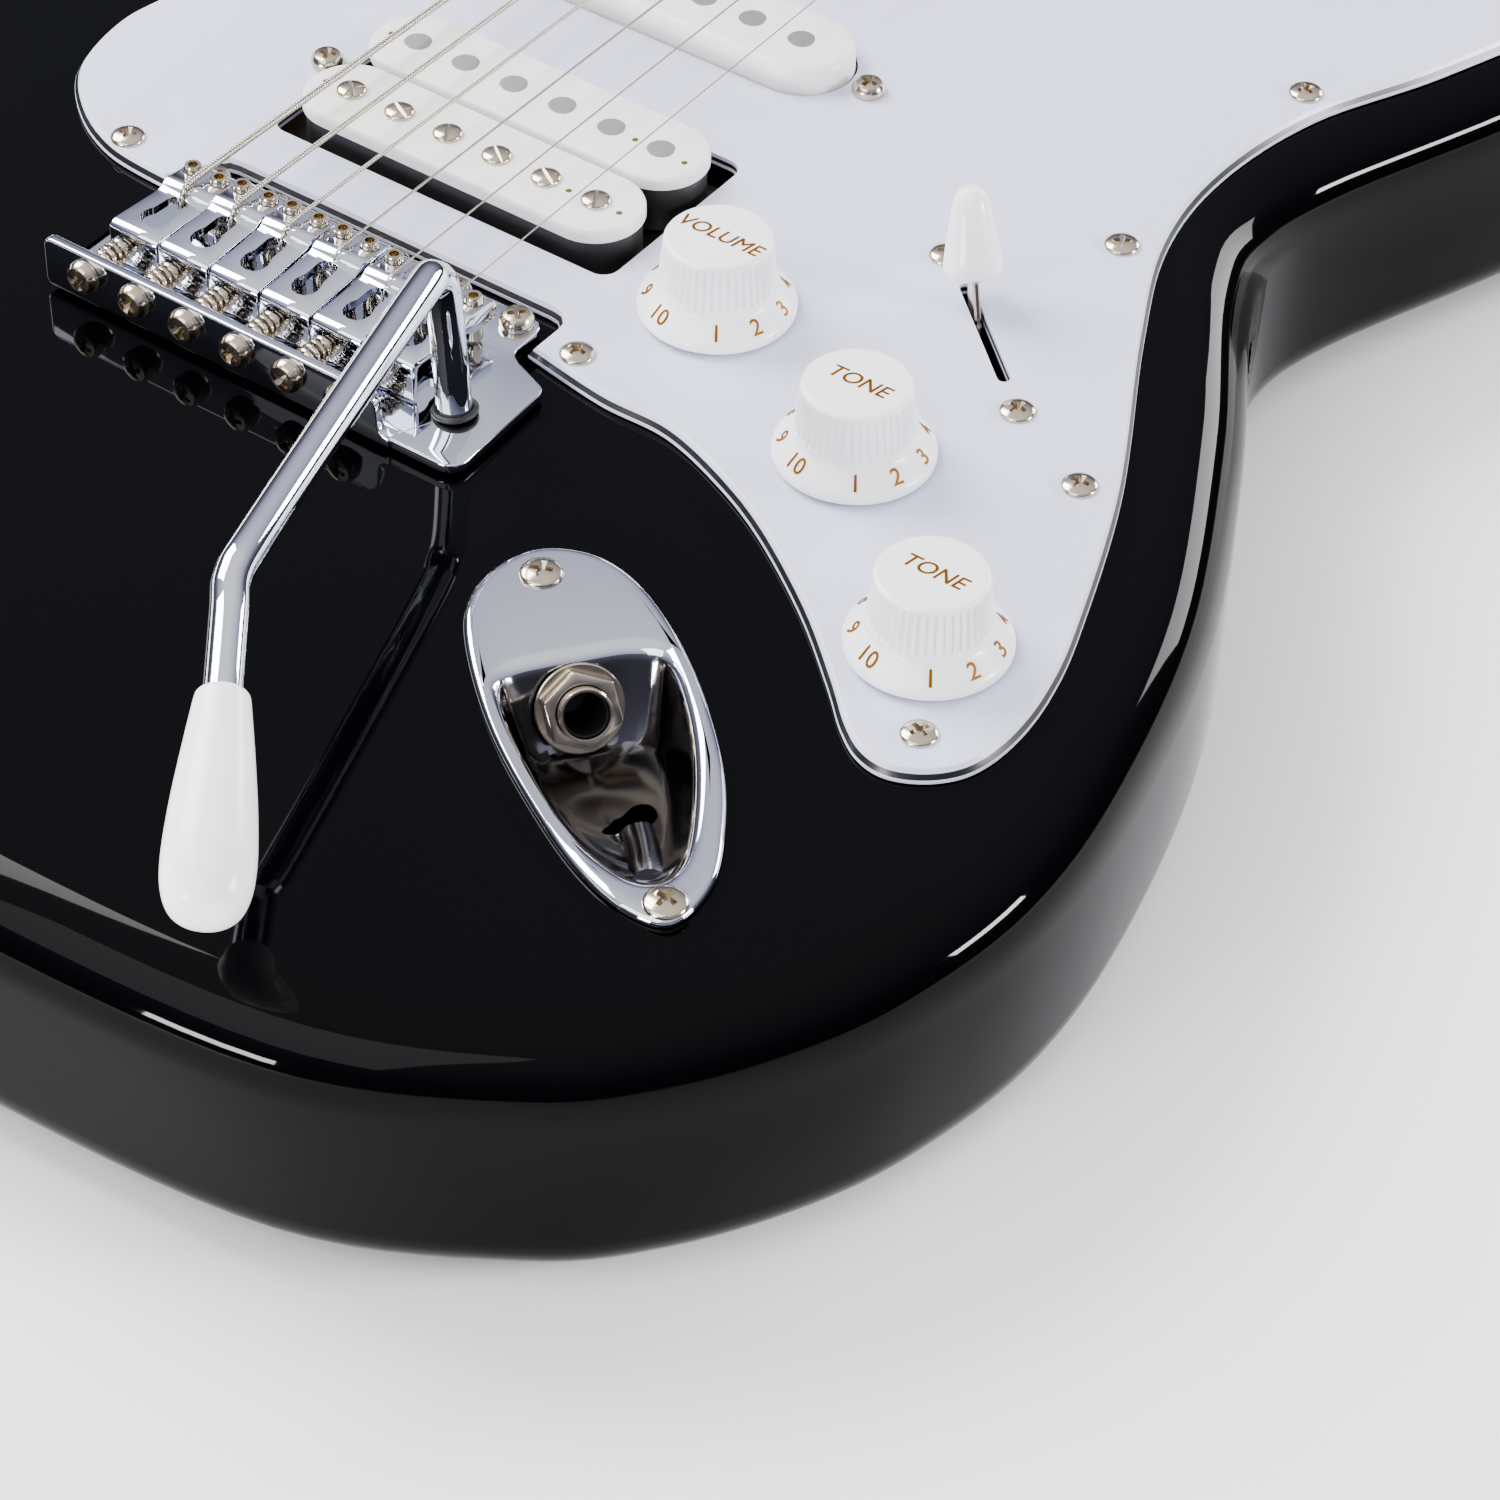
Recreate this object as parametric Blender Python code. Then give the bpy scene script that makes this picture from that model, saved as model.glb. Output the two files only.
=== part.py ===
"""Electric guitar with a tremolo bridge, lying on its back.

Design frame, in millimetres: +X towards the thin strings, +Y towards the headstock, +Z up,
z = 0 on the body's top and x = 0 on the strings' centre line. ROOT_PLACE moves it so that the
origin is under the middle of the guitar, on the surface that it lies on.
"""

import math

import bmesh
import bpy
from mathutils import Matrix, Vector

MM = 0.001
ROOT_PLACE = (-5.55, -333.2, 47.3)
GAP = 0.3

# Body
BODY_THICK = 45.0
TOP_ROLL, BACK_ROLL = 12.0, 9.0
BODY_EDGE = (
    (0, -148.5), (48, -149.2), (97, -143.8), (129.5, -127.6), (145.3, -112.5), (157.3, -93.4),
    (164, -75.2), (167.6, -51.5), (164.9, -24.1), (154.6, 14.5), (136.5, 53.7), (118.5, 86),
    (112.7, 104), (115.6, 124.6), (129.8, 162.1), (138, 190), (141, 220), (137, 246), (124, 260),
    (107, 258), (91, 244), (78, 229), (62, 220), (47, 222), (36, 232), (24, 244), (5, 250),
    (-20, 252), (-42, 258), (-60, 270), (-76, 288), (-91, 303), (-111, 308), (-131, 296),
    (-143, 271), (-142, 240), (-130, 205), (-115, 174), (-107.5, 142), (-111, 112), (-124, 80),
    (-141, 46), (-153, 15), (-156.5, -18), (-151, -54), (-134, -90), (-107, -118), (-71, -136),
    (-36, -144.5),
)
BELLY_BALL, BELLY_BALL_R = (-140, 118, -187), 160.0
BLOCK_CAVITY = (-39, 39, -26, 2)
SPRING_CAVITY = (-39, 39, -26, 116)
SPRING_CAVITY_DEEP = 17.0
PICKUP_CAVITY = (-45, 46.5, 16, 166)
PICKUP_CAVITY_DEEP = 18.0
CONTROL_CAVITY_DEEP = 38.0
CONTROL_CAVITY = (
    (44, 15), (72, 2), (104, -20), (126, -38), (140, -32), (139, -12), (124, 24), (104, 62),
    (84, 74), (44, 60),
)

# Pickguard
GUARD_LOW, GUARD_TOP = GAP, 2.5
GUARD_EDGE = (
    (36.5, -3.0), (52.9, -5.8), (66, -6.2), (79.3, -10.8), (91.7, -17.3), (106.9, -28),
    (119, -38.5), (126.6, -45.7), (132.2, -49.3), (137.8, -49.8), (143.6, -46.6), (147.4, -41),
    (148.6, -32), (147.3, -20.7), (143, -5.9), (131.2, 24.4), (113.5, 58.9), (103.5, 82),
    (100.6, 104), (104.4, 128), (115.4, 153), (125.5, 184), (128, 214), (123, 236), (112, 243),
    (99, 236), (85, 222), (66, 208), (48, 205), (29, 205),
)
GUARD_EDGE_BASS = (
    (-29, 236), (-44, 243), (-60, 240), (-72, 226), (-83, 205), (-91, 180), (-90, 150),
    (-82, 118), (-75, 85), (-71.5, 60), (-73.5, 39.7), (-75.2, 27), (-72, 13), (-63.3, 3.6),
    (-52, -2), (-38.8, -3.4),
)
BRIDGE_NOTCH = (-34.5, 36.5, 7.0)

# Pickups
PICKUP_X = 0.8
BOBBIN_ROWS = (28.7, 46.7)
BOBBIN_LONG, BOBBIN_WIDE, BOBBIN_TOP = 67.5, 16.8, 7.9
SINGLE_COIL_Y = {"middle_pickup": 87.2, "neck_pickup": 151.0}
COIL_LONG, COIL_WIDE, COIL_TOP = 70.0, 18.2, 7.4

# Controls
KNOBS = {"volume": (54.8, 23.1), "middle_tone": (93.5, 5.8), "neck_tone": (127.6, -24.3)}
KNOB_LOW, KNOB_TOP = 3.2, 17.1
POT_R, POT_DEEP, SHAFT_R = 12.0, 12.5, 2.9
SWITCH_AT = (92.6, 44.0)
SWITCH_ALONG = (0.745, -0.667)
LEVER_PIVOT_Z, LEVER_LEAN = -18.0, 17.8

# Bridge
STRING_PITCH = 10.45
SADDLE_X = [-26.2 + STRING_PITCH * i for i in range(6)]
PLATE_LOW, PLATE_TOP = 0.8, 2.6
FLANGE = (-37, 31, -34.4, -32.8, 10.2)
BLOCK = (-35, 35, -15.5, -2.5, -38)
STRING_HOLE_Y, STRING_HOLE_R = -11.0, 2.0
CONTACT_Y, CONTACT_Z = -10.8, 12.6
ARM_BASE = (37.6, -23.1, 2.6)
ARM_R = 2.9

# Jack plate: u runs along the plate from its first screw, w across it
JACK_AT, JACK_ALONG, JACK_ACROSS = (70.9, -44.7), (0.778, -0.629), (0.629, 0.778)
JACK_LIFT, JACK_SHEET = GAP, 1.3
JACK_FACE, JACK_TILT = (20.9, 0.6, -5.4), 27.5

# Neck, in the strings' direction from the nut at NUT_Y
SCALE = 648.0
NUT_Y = 637.0
HEEL_Y, POCKET_DEEP, HEEL_HALF, NUT_HALF = 175.0, 16.0, 28.0, 21.0
BOARD_LOW, BOARD_TOP, BOARD_RADIUS = 4.7, 9.5, 241.0
FRETS = 21
NUT_PITCH = 7.0
HEAD_TOP, HEAD_BACK = -1.0, -15.3
HEAD_EDGE = (
    (21, 640), (23.5, 652), (33, 672), (39, 705), (42, 745), (44, 785), (42, 812), (31, 827),
    (16, 830), (3, 822), (-4, 803), (-12, 772), (-25, 722), (-35, 684), (-35, 668), (-27, 655),
    (-21, 640),
)
POST_FIRST, POST_STEP, POST_SLANT = (-20.5, 670.0), 25.5, 0.262
POST_R = 3.0
POST_TOP = 15.0

GAUGES = (1.168, 0.914, 0.660, 0.432, 0.330, 0.254)


# ---------------------------------------------------------------- helpers

def clear_scene():
    for obj in list(bpy.data.objects):
        bpy.data.objects.remove(obj)


def finish(name, colour, roughness, metallic=0.0):
    """A Principled BSDF material from an sRGB hex colour."""
    mat = bpy.data.materials.new(name)
    mat.use_nodes = True
    shader = mat.node_tree.nodes["Principled BSDF"]
    srgb = [int(colour[i:i + 2], 16) / 255 for i in (0, 2, 4)]
    linear = [c / 12.92 if c <= 0.04045 else ((c + 0.055) / 1.055) ** 2.4 for c in srgb]
    shader.inputs["Base Color"].default_value = (*linear, 1)
    shader.inputs["Roughness"].default_value = roughness
    shader.inputs["Metallic"].default_value = metallic
    return mat


def add_empty(name, place, parent=None):
    """An empty at a place in the design frame, which its children's origins count from."""
    empty = bpy.data.objects.new(name, None)
    bpy.context.collection.objects.link(empty)
    empty.parent = parent
    empty["design_place"] = place
    parent_place = Vector(parent["design_place"]) if parent else Vector()
    empty.location = (Vector(place) - parent_place) * MM
    return empty


def add_part(name, bm, mat, parent, origin=None):
    """An object made from a bmesh in design millimetres, with its own origin."""
    parent_place = Vector(parent["design_place"])
    origin = parent_place if origin is None else Vector(origin)
    for vert in bm.verts:
        vert.co = (vert.co - origin) * MM
    mesh = bpy.data.meshes.new(name)
    bm.to_mesh(mesh)
    bm.free()
    mesh.shade_smooth()
    mesh.set_sharp_from_angle(angle=math.radians(35))
    obj = bpy.data.objects.new(name, mesh)
    bpy.context.collection.objects.link(obj)
    obj.data.materials.append(mat)
    obj.parent = parent
    obj["design_place"] = origin
    obj.location = (origin - parent_place) * MM
    return obj


def combine(obj, bm, operation, label):
    """Cuts a hidden shape from an object, or fuses it on."""
    tool = add_part(f"{obj.name}_{label}", bm, obj.data.materials[0], obj.parent)
    tool.hide_render = True
    tool.display_type = "WIRE"
    modifier = obj.modifiers.new(label, "BOOLEAN")
    modifier.operation = operation
    modifier.solver = "EXACT"
    modifier.object = tool


def cut(obj, bm, label):
    combine(obj, bm, "DIFFERENCE", label)


def fuse(obj, bm, label):
    combine(obj, bm, "UNION", label)


def loft(rings):
    """A closed skin through rings with the same number of points, capped at both ends."""
    bm = bmesh.new()
    loops = [[bm.verts.new(point) for point in ring] for ring in rings]
    count = len(rings[0])
    for low, high in zip(loops, loops[1:]):
        for i in range(count):
            j = (i + 1) % count
            bm.faces.new((low[i], low[j], high[j], high[i]))
    bm.faces.new(loops[0][::-1])
    bm.faces.new(loops[-1])
    bmesh.ops.recalc_face_normals(bm, faces=bm.faces)
    return bm


def at_height(outline, z):
    return [(x, y, z) for x, y in outline]


def prism(outline, low, high):
    return loft([at_height(outline, low), at_height(outline, high)])


def join(*shapes):
    """Several closed shapes that don't touch, in one bmesh."""
    whole = bmesh.new()
    for shape in shapes:
        mesh = bpy.data.meshes.new("joining")
        shape.to_mesh(mesh)
        shape.free()
        whole.from_mesh(mesh)
        bpy.data.meshes.remove(mesh)
    return whole


def box(low_x, high_x, low_y, high_y, low_z, high_z):
    bm = bmesh.new()
    size = (high_x - low_x, high_y - low_y, high_z - low_z)
    middle = ((low_x + high_x) / 2, (low_y + high_y) / 2, (low_z + high_z) / 2)
    place = Matrix.Translation(middle) @ Matrix.Diagonal((*size, 1))
    bmesh.ops.create_cube(bm, size=1, matrix=place)
    return bm


def spline(points, steps, closed=True):
    """Points on a Catmull-Rom curve through the given ones."""
    count = len(points)
    spans = count if closed else count - 1
    found = []
    for i in range(spans):
        if closed:
            a, b, c, d = (points[(i + k) % count] for k in (-1, 0, 1, 2))
        else:
            a, b, c, d = (points[min(max(i + k, 0), count - 1)] for k in (-1, 0, 1, 2))
        for step in range(steps):
            t = step / steps
            found.append(tuple(
                0.5 * (2 * q + (r - p) * t + (2 * p - 5 * q + 4 * r - s) * t * t
                       + (3 * q - p - 3 * r + s) * t ** 3)
                for p, q, r, s in zip(a, b, c, d)
            ))
    if not closed:
        found.append(tuple(points[-1]))
    return found


def inset(outline, distance):
    """The outline moved inwards, for an outline that runs counter-clockwise."""
    moved = []
    count = len(outline)
    for i, here in enumerate(outline):
        before, after = outline[i - 1], outline[(i + 1) % count]
        one = Vector((here[0] - before[0], here[1] - before[1])).normalized()
        two = Vector((after[0] - here[0], after[1] - here[1])).normalized()
        along = (one + two).normalized()
        stretch = min(1 / max(along.dot(one), 0.4), 1.6)
        moved.append((here[0] - along.y * distance * stretch, here[1] + along.x * distance * stretch))
    return moved


def rolled(outline, low, high, low_roll, high_roll, steps):
    """A slab whose lower and upper edges are rounded by the given radii."""
    rings = []
    for step in range(steps + 1):
        angle = math.pi / 2 * step / steps
        rings.append(at_height(inset(outline, low_roll * (1 - math.sin(angle))),
                               low + low_roll * (1 - math.cos(angle))))
    for step in range(steps + 1):
        angle = math.pi / 2 * step / steps
        rings.append(at_height(inset(outline, high_roll * (1 - math.cos(angle))),
                               high - high_roll * (1 - math.sin(angle))))
    return loft(rings)


def rounded_box(cx, cy, width, height, radius, steps=4):
    """A rounded rectangle's outline, counter-clockwise; a stadium when the radius is half."""
    found = []
    for quarter, (sx, sy) in enumerate(((1, 1), (-1, 1), (-1, -1), (1, -1))):
        mx, my = cx + sx * (width / 2 - radius), cy + sy * (height / 2 - radius)
        for step in range(steps + 1):
            angle = math.pi / 2 * (quarter + step / steps)
            found.append((mx + radius * math.cos(angle), my + radius * math.sin(angle)))
    return found


def disc(radius, sides, turn=0.0):
    return [(radius * math.cos(2 * math.pi * i / sides + turn),
             radius * math.sin(2 * math.pi * i / sides + turn)) for i in range(sides)]


def turned(profile, sides, base=(0, 0, 0), axis=(0, 0, 1)):
    """A solid of revolution from (radius, height) pairs, standing at base along axis."""
    bm = loft([at_height(disc(radius, sides), height) for radius, height in profile])
    turn = Vector((0, 0, 1)).rotation_difference(Vector(axis)).to_matrix().to_4x4()
    bmesh.ops.transform(bm, matrix=Matrix.Translation(base) @ turn, verts=bm.verts)
    return bm


def swept(path, radii, sides):
    """A round rod along a path; radii is one number, or one for each point."""
    points = [Vector(p) for p in path]
    radii = [radii] * len(points) if isinstance(radii, (int, float)) else radii
    side = (points[1] - points[0]).orthogonal().normalized()
    rings = []
    for i, point in enumerate(points):
        ahead = points[min(i + 1, len(points) - 1)] - point
        behind = point - points[max(i - 1, 0)]
        along = (ahead.normalized() + behind.normalized()).normalized()
        side = (side - along * side.dot(along)).normalized()
        other = along.cross(side)
        rings.append([point + side * x + other * y for x, y in disc(radii[i], sides)])
    return loft(rings)


def turn_flat(outline, centre, along):
    """An outline drawn along +X about the origin, turned to run along a direction."""
    ax, ay = along
    return [(centre[0] + x * ax - y * ay, centre[1] + x * ay + y * ax) for x, y in outline]


# ---------------------------------------------------------------- body

def neck_half(y):
    """Half of the neck's width, from the heel to the nut."""
    share = min(max((y - HEEL_Y) / (NUT_Y - HEEL_Y), 0), 1)
    return HEEL_HALF + (NUT_HALF - HEEL_HALF) * share


def jack_point(u, w):
    return (JACK_AT[0] + u * JACK_ALONG[0] + w * JACK_ACROSS[0],
            JACK_AT[1] + u * JACK_ALONG[1] + w * JACK_ACROSS[1])


def make_body(mat, root):
    outline = spline(BODY_EDGE, 2)
    body = add_part("body", rolled(outline, -BODY_THICK, 0, BACK_ROLL, TOP_ROLL, 3), mat, root)
    low_x, high_x, low_y, high_y = BLOCK_CAVITY
    cut(body, box(low_x, high_x, low_y, high_y, -30, 5), "block_cavity")
    low_x, high_x, low_y, high_y = SPRING_CAVITY
    back = rounded_box((low_x + high_x) / 2, (low_y + high_y) / 2, high_x - low_x,
                       high_y - low_y, 6, 2)
    cut(body, prism(back, -BODY_THICK - 5, -BODY_THICK + SPRING_CAVITY_DEEP), "spring_cavity")
    low_x, high_x, low_y, high_y = PICKUP_CAVITY
    cut(body, box(low_x, high_x, low_y, high_y, -PICKUP_CAVITY_DEEP, 5), "pickup_cavity")
    control = spline(CONTROL_CAVITY, 2)
    cut(body, prism(control, -CONTROL_CAVITY_DEEP, 5), "control_cavity")
    cup = [jack_point(u, w) for u, w in inset(spline(CUP_RIM_UW, 1)[::-1], -2.2)]
    cut(body, prism(cup, -30, 5), "jack_cup_cavity")
    barrel = [jack_point(u, w) for u, w in rounded_box(13, 0.6, 20, 19, 4, 2)]
    cut(body, prism(barrel, -30, 5), "jack_barrel_cavity")
    arm_x, arm_y, _ = ARM_BASE
    cut(body, box(arm_x - 6, arm_x + 6, arm_y - 6, arm_y + 6, -12, 5), "arm_hole")
    pocket = HEEL_HALF + GAP
    cut(body, box(-pocket, pocket, HEEL_Y - GAP, 300, -POCKET_DEEP, 5), "neck_pocket")
    forearm = box(-60, 60, -200, 200, 0, 60)
    lean = Matrix.Rotation(math.radians(-14), 4, "Y")
    swing = Matrix.Rotation(math.radians(14), 4, "Z")
    place = Matrix.Translation((-97, -40, 0)) @ swing @ lean @ Matrix.Translation((-60, 0, 0))
    bmesh.ops.transform(forearm, matrix=place, verts=forearm.verts)
    cut(body, forearm, "forearm_contour")
    belly = bmesh.new()
    ball_x, ball_y, ball_z = BELLY_BALL
    bmesh.ops.create_icosphere(belly, subdivisions=4, radius=BELLY_BALL_R,
                               matrix=Matrix.Translation((ball_x, ball_y, ball_z)))
    cut(body, belly, "belly_contour")
    return body


def make_tremolo_cover(mat, root):
    low = -BODY_THICK - GAP - 2.0
    outline = rounded_box(0, 44, 96, 156, 6, 2)
    cover = add_part("tremolo_cover", prism(outline, low, low + 2.0), mat, root)
    slot = rounded_box(0, -12, 66, 14, 6.9, 3)
    cut(cover, prism(slot, low - 5, low + 5), "string_slot")


def make_neck_plate(mat, root):
    low = -BODY_THICK - GAP - 2.0
    outline = rounded_box(0, 211, 51, 64, 3, 2)
    add_part("neck_plate", prism(outline, low, low + 2.0), mat, root)


def make_strap_buttons(mat, root):
    profile = ((6.5, 0), (6.2, 1.5), (3.6, 3), (3.4, 8), (4.4, 10.5), (7.4, 12.3), (7.6, 13.6),
               (6.6, 14.6))
    z = -BODY_THICK / 2
    tail = turned(profile, 16, (6, -148.7 - GAP, z), (0, -1, 0))
    add_part("tail_strap_button", tail, mat, root)
    horn = turned(profile, 16, (-112.6, 307.7 + GAP, z), (-0.08, 1, 0))
    add_part("horn_strap_button", horn, mat, root)


# ---------------------------------------------------------------- pickguard and pickups

def make_pickguard(mat, root):
    treble = spline(GUARD_EDGE, 2, closed=False)
    bass = spline(GUARD_EDGE_BASS, 2, closed=False)
    heel = HEEL_HALF + 0.6
    neck_side = [(heel, HEEL_Y - 0.8), (-heel, HEEL_Y - 0.8)]
    low_x, high_x, front = BRIDGE_NOTCH
    notch = [(low_x, front - 3), (low_x + 3, front), (high_x - 3, front), (high_x, front - 3)]
    outline = treble + neck_side + bass + notch
    top = inset(outline, 1.1)
    rings = [at_height(outline, GUARD_LOW), at_height(outline, GUARD_LOW + 0.6),
             at_height(top, GUARD_TOP)]
    guard = add_part("pickguard", loft(rings), mat, root)
    low, high = GUARD_LOW - 3, GUARD_TOP + 3
    holes = [prism(rounded_box(PICKUP_X, 37.9, 70.6, 38.4, 3, 2), low, high)]
    for y in SINGLE_COIL_Y.values():
        opening = rounded_box(PICKUP_X, y, COIL_LONG + 0.9, COIL_WIDE + 0.9, 9.4, 3)
        holes.append(prism(opening, low, high))
    for x, y in KNOBS.values():
        holes.append(turned(((5.0, low), (5.0, high)), 12, (x, y, 0)))
    slot = turn_flat(rounded_box(0, 0, 26, 2.2, 1.09, 2), SWITCH_AT, SWITCH_ALONG)
    holes.append(prism(slot, low, high))
    cut(guard, join(*holes), "openings")


def make_humbucker(white, metal, root):
    for name, y in zip(("screw_coil_bobbin", "slug_coil_bobbin"), BOBBIN_ROWS):
        outline = rounded_box(PICKUP_X, y, BOBBIN_LONG, BOBBIN_WIDE, BOBBIN_WIDE / 2 - 0.1, 4)
        add_part(name, rolled(outline, -3.2, BOBBIN_TOP, 0.5, 1.0, 2), white, root)
    base = rounded_box(PICKUP_X, sum(BOBBIN_ROWS) / 2, 82, 37, 2, 1)
    add_part("humbucker_baseplate", prism(base, -5.0, -3.5), metal, root)


def make_single_coils(white, root):
    for name, y in SINGLE_COIL_Y.items():
        stadium = rounded_box(PICKUP_X, y, COIL_LONG, COIL_WIDE, COIL_WIDE / 2 - 0.1, 4)
        ears = rounded_box(PICKUP_X, y, 85, 17, 4, 4)
        rings = [at_height(ears, -11), at_height(ears, -9), at_height(stadium, -8.9),
                 at_height(stadium, COIL_TOP - 1.6), at_height(inset(stadium, 0.5), COIL_TOP - 0.5),
                 at_height(inset(stadium, 1.6), COIL_TOP)]
        add_part(name, loft(rings), white, root)


# ---------------------------------------------------------------- controls

def make_controls(metal, white, root):
    for name, (x, y) in KNOBS.items():
        pot = ((POT_R, -POT_DEEP - 0.5), (POT_R, -0.5), (4.6, -0.5), (4.6, 3.0),
               (SHAFT_R, 3.0), (SHAFT_R, 13.2))
        add_part(f"{name}_pot", turned(pot, 16, (x, y, 0)), metal, root)
        hole_r = SHAFT_R + GAP
        knob = ((hole_r, 13.6), (hole_r, 6.2), (7.4, 5.8), (11.4, KNOB_LOW), (12.97, KNOB_LOW),
                (12.97, 4.1), (12.4, 5.4), (11.6, 6.4), (10.1, 7.6), (9.5, 8.8), (8.7, 16.5),
                (8.3, KNOB_TOP))
        add_part(f"{name}_knob", turned(knob, 24, (x, y, 0)), white, root, (x, y, KNOB_LOW))


def along_switch(outline):
    return turn_flat(outline, SWITCH_AT, SWITCH_ALONG)


def make_switch(black, metal, white, root):
    frame = along_switch(rounded_box(0, 0, 46, 11, 1, 1))
    switch = add_part("switch_body", prism(frame, -34, -0.1), black, root)
    window = along_switch(rounded_box(0, 0, 38, 5, 0.5, 1))
    cut(switch, prism(window, -20.5, -1.6), "lever_room")
    slot = along_switch(rounded_box(0, 0, 30, 3, 0.5, 1))
    cut(switch, prism(slot, -4, 2), "lever_slot")

    pivot = (*SWITCH_AT, LEVER_PIVOT_Z)
    lever_empty = add_empty("lever_pivot", pivot, root)
    lean = Matrix.Rotation(math.radians(LEVER_LEAN), 4, (-SWITCH_ALONG[1], SWITCH_ALONG[0], 0))
    place = Matrix.Translation(pivot) @ lean.inverted()
    blade = loft([[(x * SWITCH_ALONG[0] - y * SWITCH_ALONG[1],
                    x * SWITCH_ALONG[1] + y * SWITCH_ALONG[0], z)
                   for x, y in rounded_box(0, 0, width, 1.1, 0.3, 1)]
                  for width, z in ((5, -1.5), (5, 20), (3.6, 26), (3.2, 33))])
    bmesh.ops.transform(blade, matrix=place, verts=blade.verts)
    add_part("switch_lever", blade, metal, lever_empty)
    tip = ((2.1, 35), (2.1, 27.5), (4.0, 27.2), (4.7, 28.0), (4.8, 29.5), (4.3, 32.5), (3.7, 35.5),
           (3.2, 38.5), (2.6, 40.6), (1.4, 41.8), (0.3, 42.1))
    cap = turned(tip, 12)
    bmesh.ops.transform(cap, matrix=place, verts=cap.verts)
    add_part("switch_tip", cap, white, lever_empty)


# ---------------------------------------------------------------- jack

PLATE_EDGE_UW = (
    (-6.5, 0.5), (-3.5, 8.5), (4, 13.6), (16, 16.3), (31, 17), (47, 15.7), (60, 12.4), (70.5, 7.6),
    (76.5, 0), (72, -6), (62, -10.5), (47, -13.6), (31, -15.4), (15, -15), (4, -12.8), (-3, -7.6),
)
CUP_RIM_UW = (
    (18.6, 0.6), (18.8, 9), (22, 13.4), (31, 13.8), (42, 12.3), (53, 9.4), (62, 6.0), (66.5, 2.6),
    (67.6, -0.6), (65, -4.2), (57, -8.4), (47, -10.8), (34, -12.3), (24, -12.2), (19.6, -9.8),
    (18.6, -4),
)
CUP_FLOOR_UW = (
    (24.6, 0.4), (24.8, 6.2), (27, 9.2), (33, 9.6), (41, 8.2), (49, 6.0), (55, 3.8), (58.4, 1.6),
    (59.2, -0.6), (57, -2.8), (51, -5.2), (44, -6.8), (35, -7.8), (28, -7.6), (25.2, -5.4),
    (24.6, -2.4),
)


def cup_floor_z(u):
    """The cup's floor is deepest under the socket and climbs to the far end."""
    return -11.5 + (u - 24.6) * 0.23


def jack_ring(outline, lift):
    """A ring on the jack plate; lift is a height, or a function of u."""
    return [(*jack_point(u, w), lift(u) if callable(lift) else lift) for u, w in outline]


def make_jack(chrome, metal, root):
    edge = spline(PLATE_EDGE_UW, 2)
    rim = spline(CUP_RIM_UW, 2)
    floor = spline(CUP_FLOOR_UW, 2)
    edge = edge[::-1]
    rim, floor = [ring[:1] + ring[:0:-1] for ring in (rim, floor)]
    edge = edge[-1:] + edge[:-1]
    top = JACK_LIFT + JACK_SHEET
    wall = 1.2
    under_floor = inset(floor[::-1], -wall * 0.6)[::-1]
    under_rim = inset(rim[::-1], -wall)[::-1]
    rings = [
        jack_ring(under_floor, lambda u: cup_floor_z(u) - wall),
        jack_ring(under_rim, JACK_LIFT - 1.0),
        jack_ring(inset(under_rim[::-1], -0.6)[::-1], JACK_LIFT),
        jack_ring(edge, JACK_LIFT),
        jack_ring(edge, JACK_LIFT + 0.4),
        jack_ring(inset(edge[::-1], 1.1)[::-1], top),
        jack_ring(inset(rim[::-1], -0.7)[::-1], top),
        jack_ring(rim, top - 0.7),
        jack_ring(floor, cup_floor_z),
    ]
    plate = add_part("jack_plate", loft(rings), chrome, root)

    u, w, z = JACK_FACE
    face = Vector((*jack_point(u, w), z))
    tilt = math.radians(JACK_TILT)
    out = Vector((JACK_ALONG[0] * math.cos(tilt), JACK_ALONG[1] * math.cos(tilt), math.sin(tilt)))
    cut(plate, turned(((5.1, -6), (5.1, 6)), 16, face, out), "socket_hole")
    socket = ((3.25, 5.6), (3.25, -10), (2.2, -12), (2.2, -16), (7.2, -16), (7.2, -2.6), (4.6, -2.6),
              (4.6, 4.8), (4.2, 5.6))
    tube = ring_solid(socket, 16)
    turn = Vector((0, 0, 1)).rotation_difference(out).to_matrix().to_4x4()
    bmesh.ops.transform(tube, matrix=Matrix.Translation(face) @ turn, verts=tube.verts)
    add_part("jack_socket", tube, metal, root)
    nut = ring_solid(((5.7, 1.6), (7.6, 1.6), (7.6, 3.2), (7.1, 3.8), (5.7, 3.8)), 6)
    bmesh.ops.transform(nut, matrix=Matrix.Translation(face) @ turn, verts=nut.verts)
    add_part("jack_nut", nut, metal, root)


def ring_solid(profile, sides):
    """A ring-shaped solid of revolution whose (radius, height) profile is a closed loop."""
    bm = bmesh.new()
    rings = [[bm.verts.new((x, y, h)) for x, y in disc(r, sides)] for r, h in profile]
    for k, low in enumerate(rings):
        high = rings[(k + 1) % len(rings)]
        for i in range(sides):
            j = (i + 1) % sides
            bm.faces.new((low[i], low[j], high[j], high[i]))
    bmesh.ops.recalc_face_normals(bm, faces=bm.faces)
    return bm


# ---------------------------------------------------------------- bridge

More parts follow.
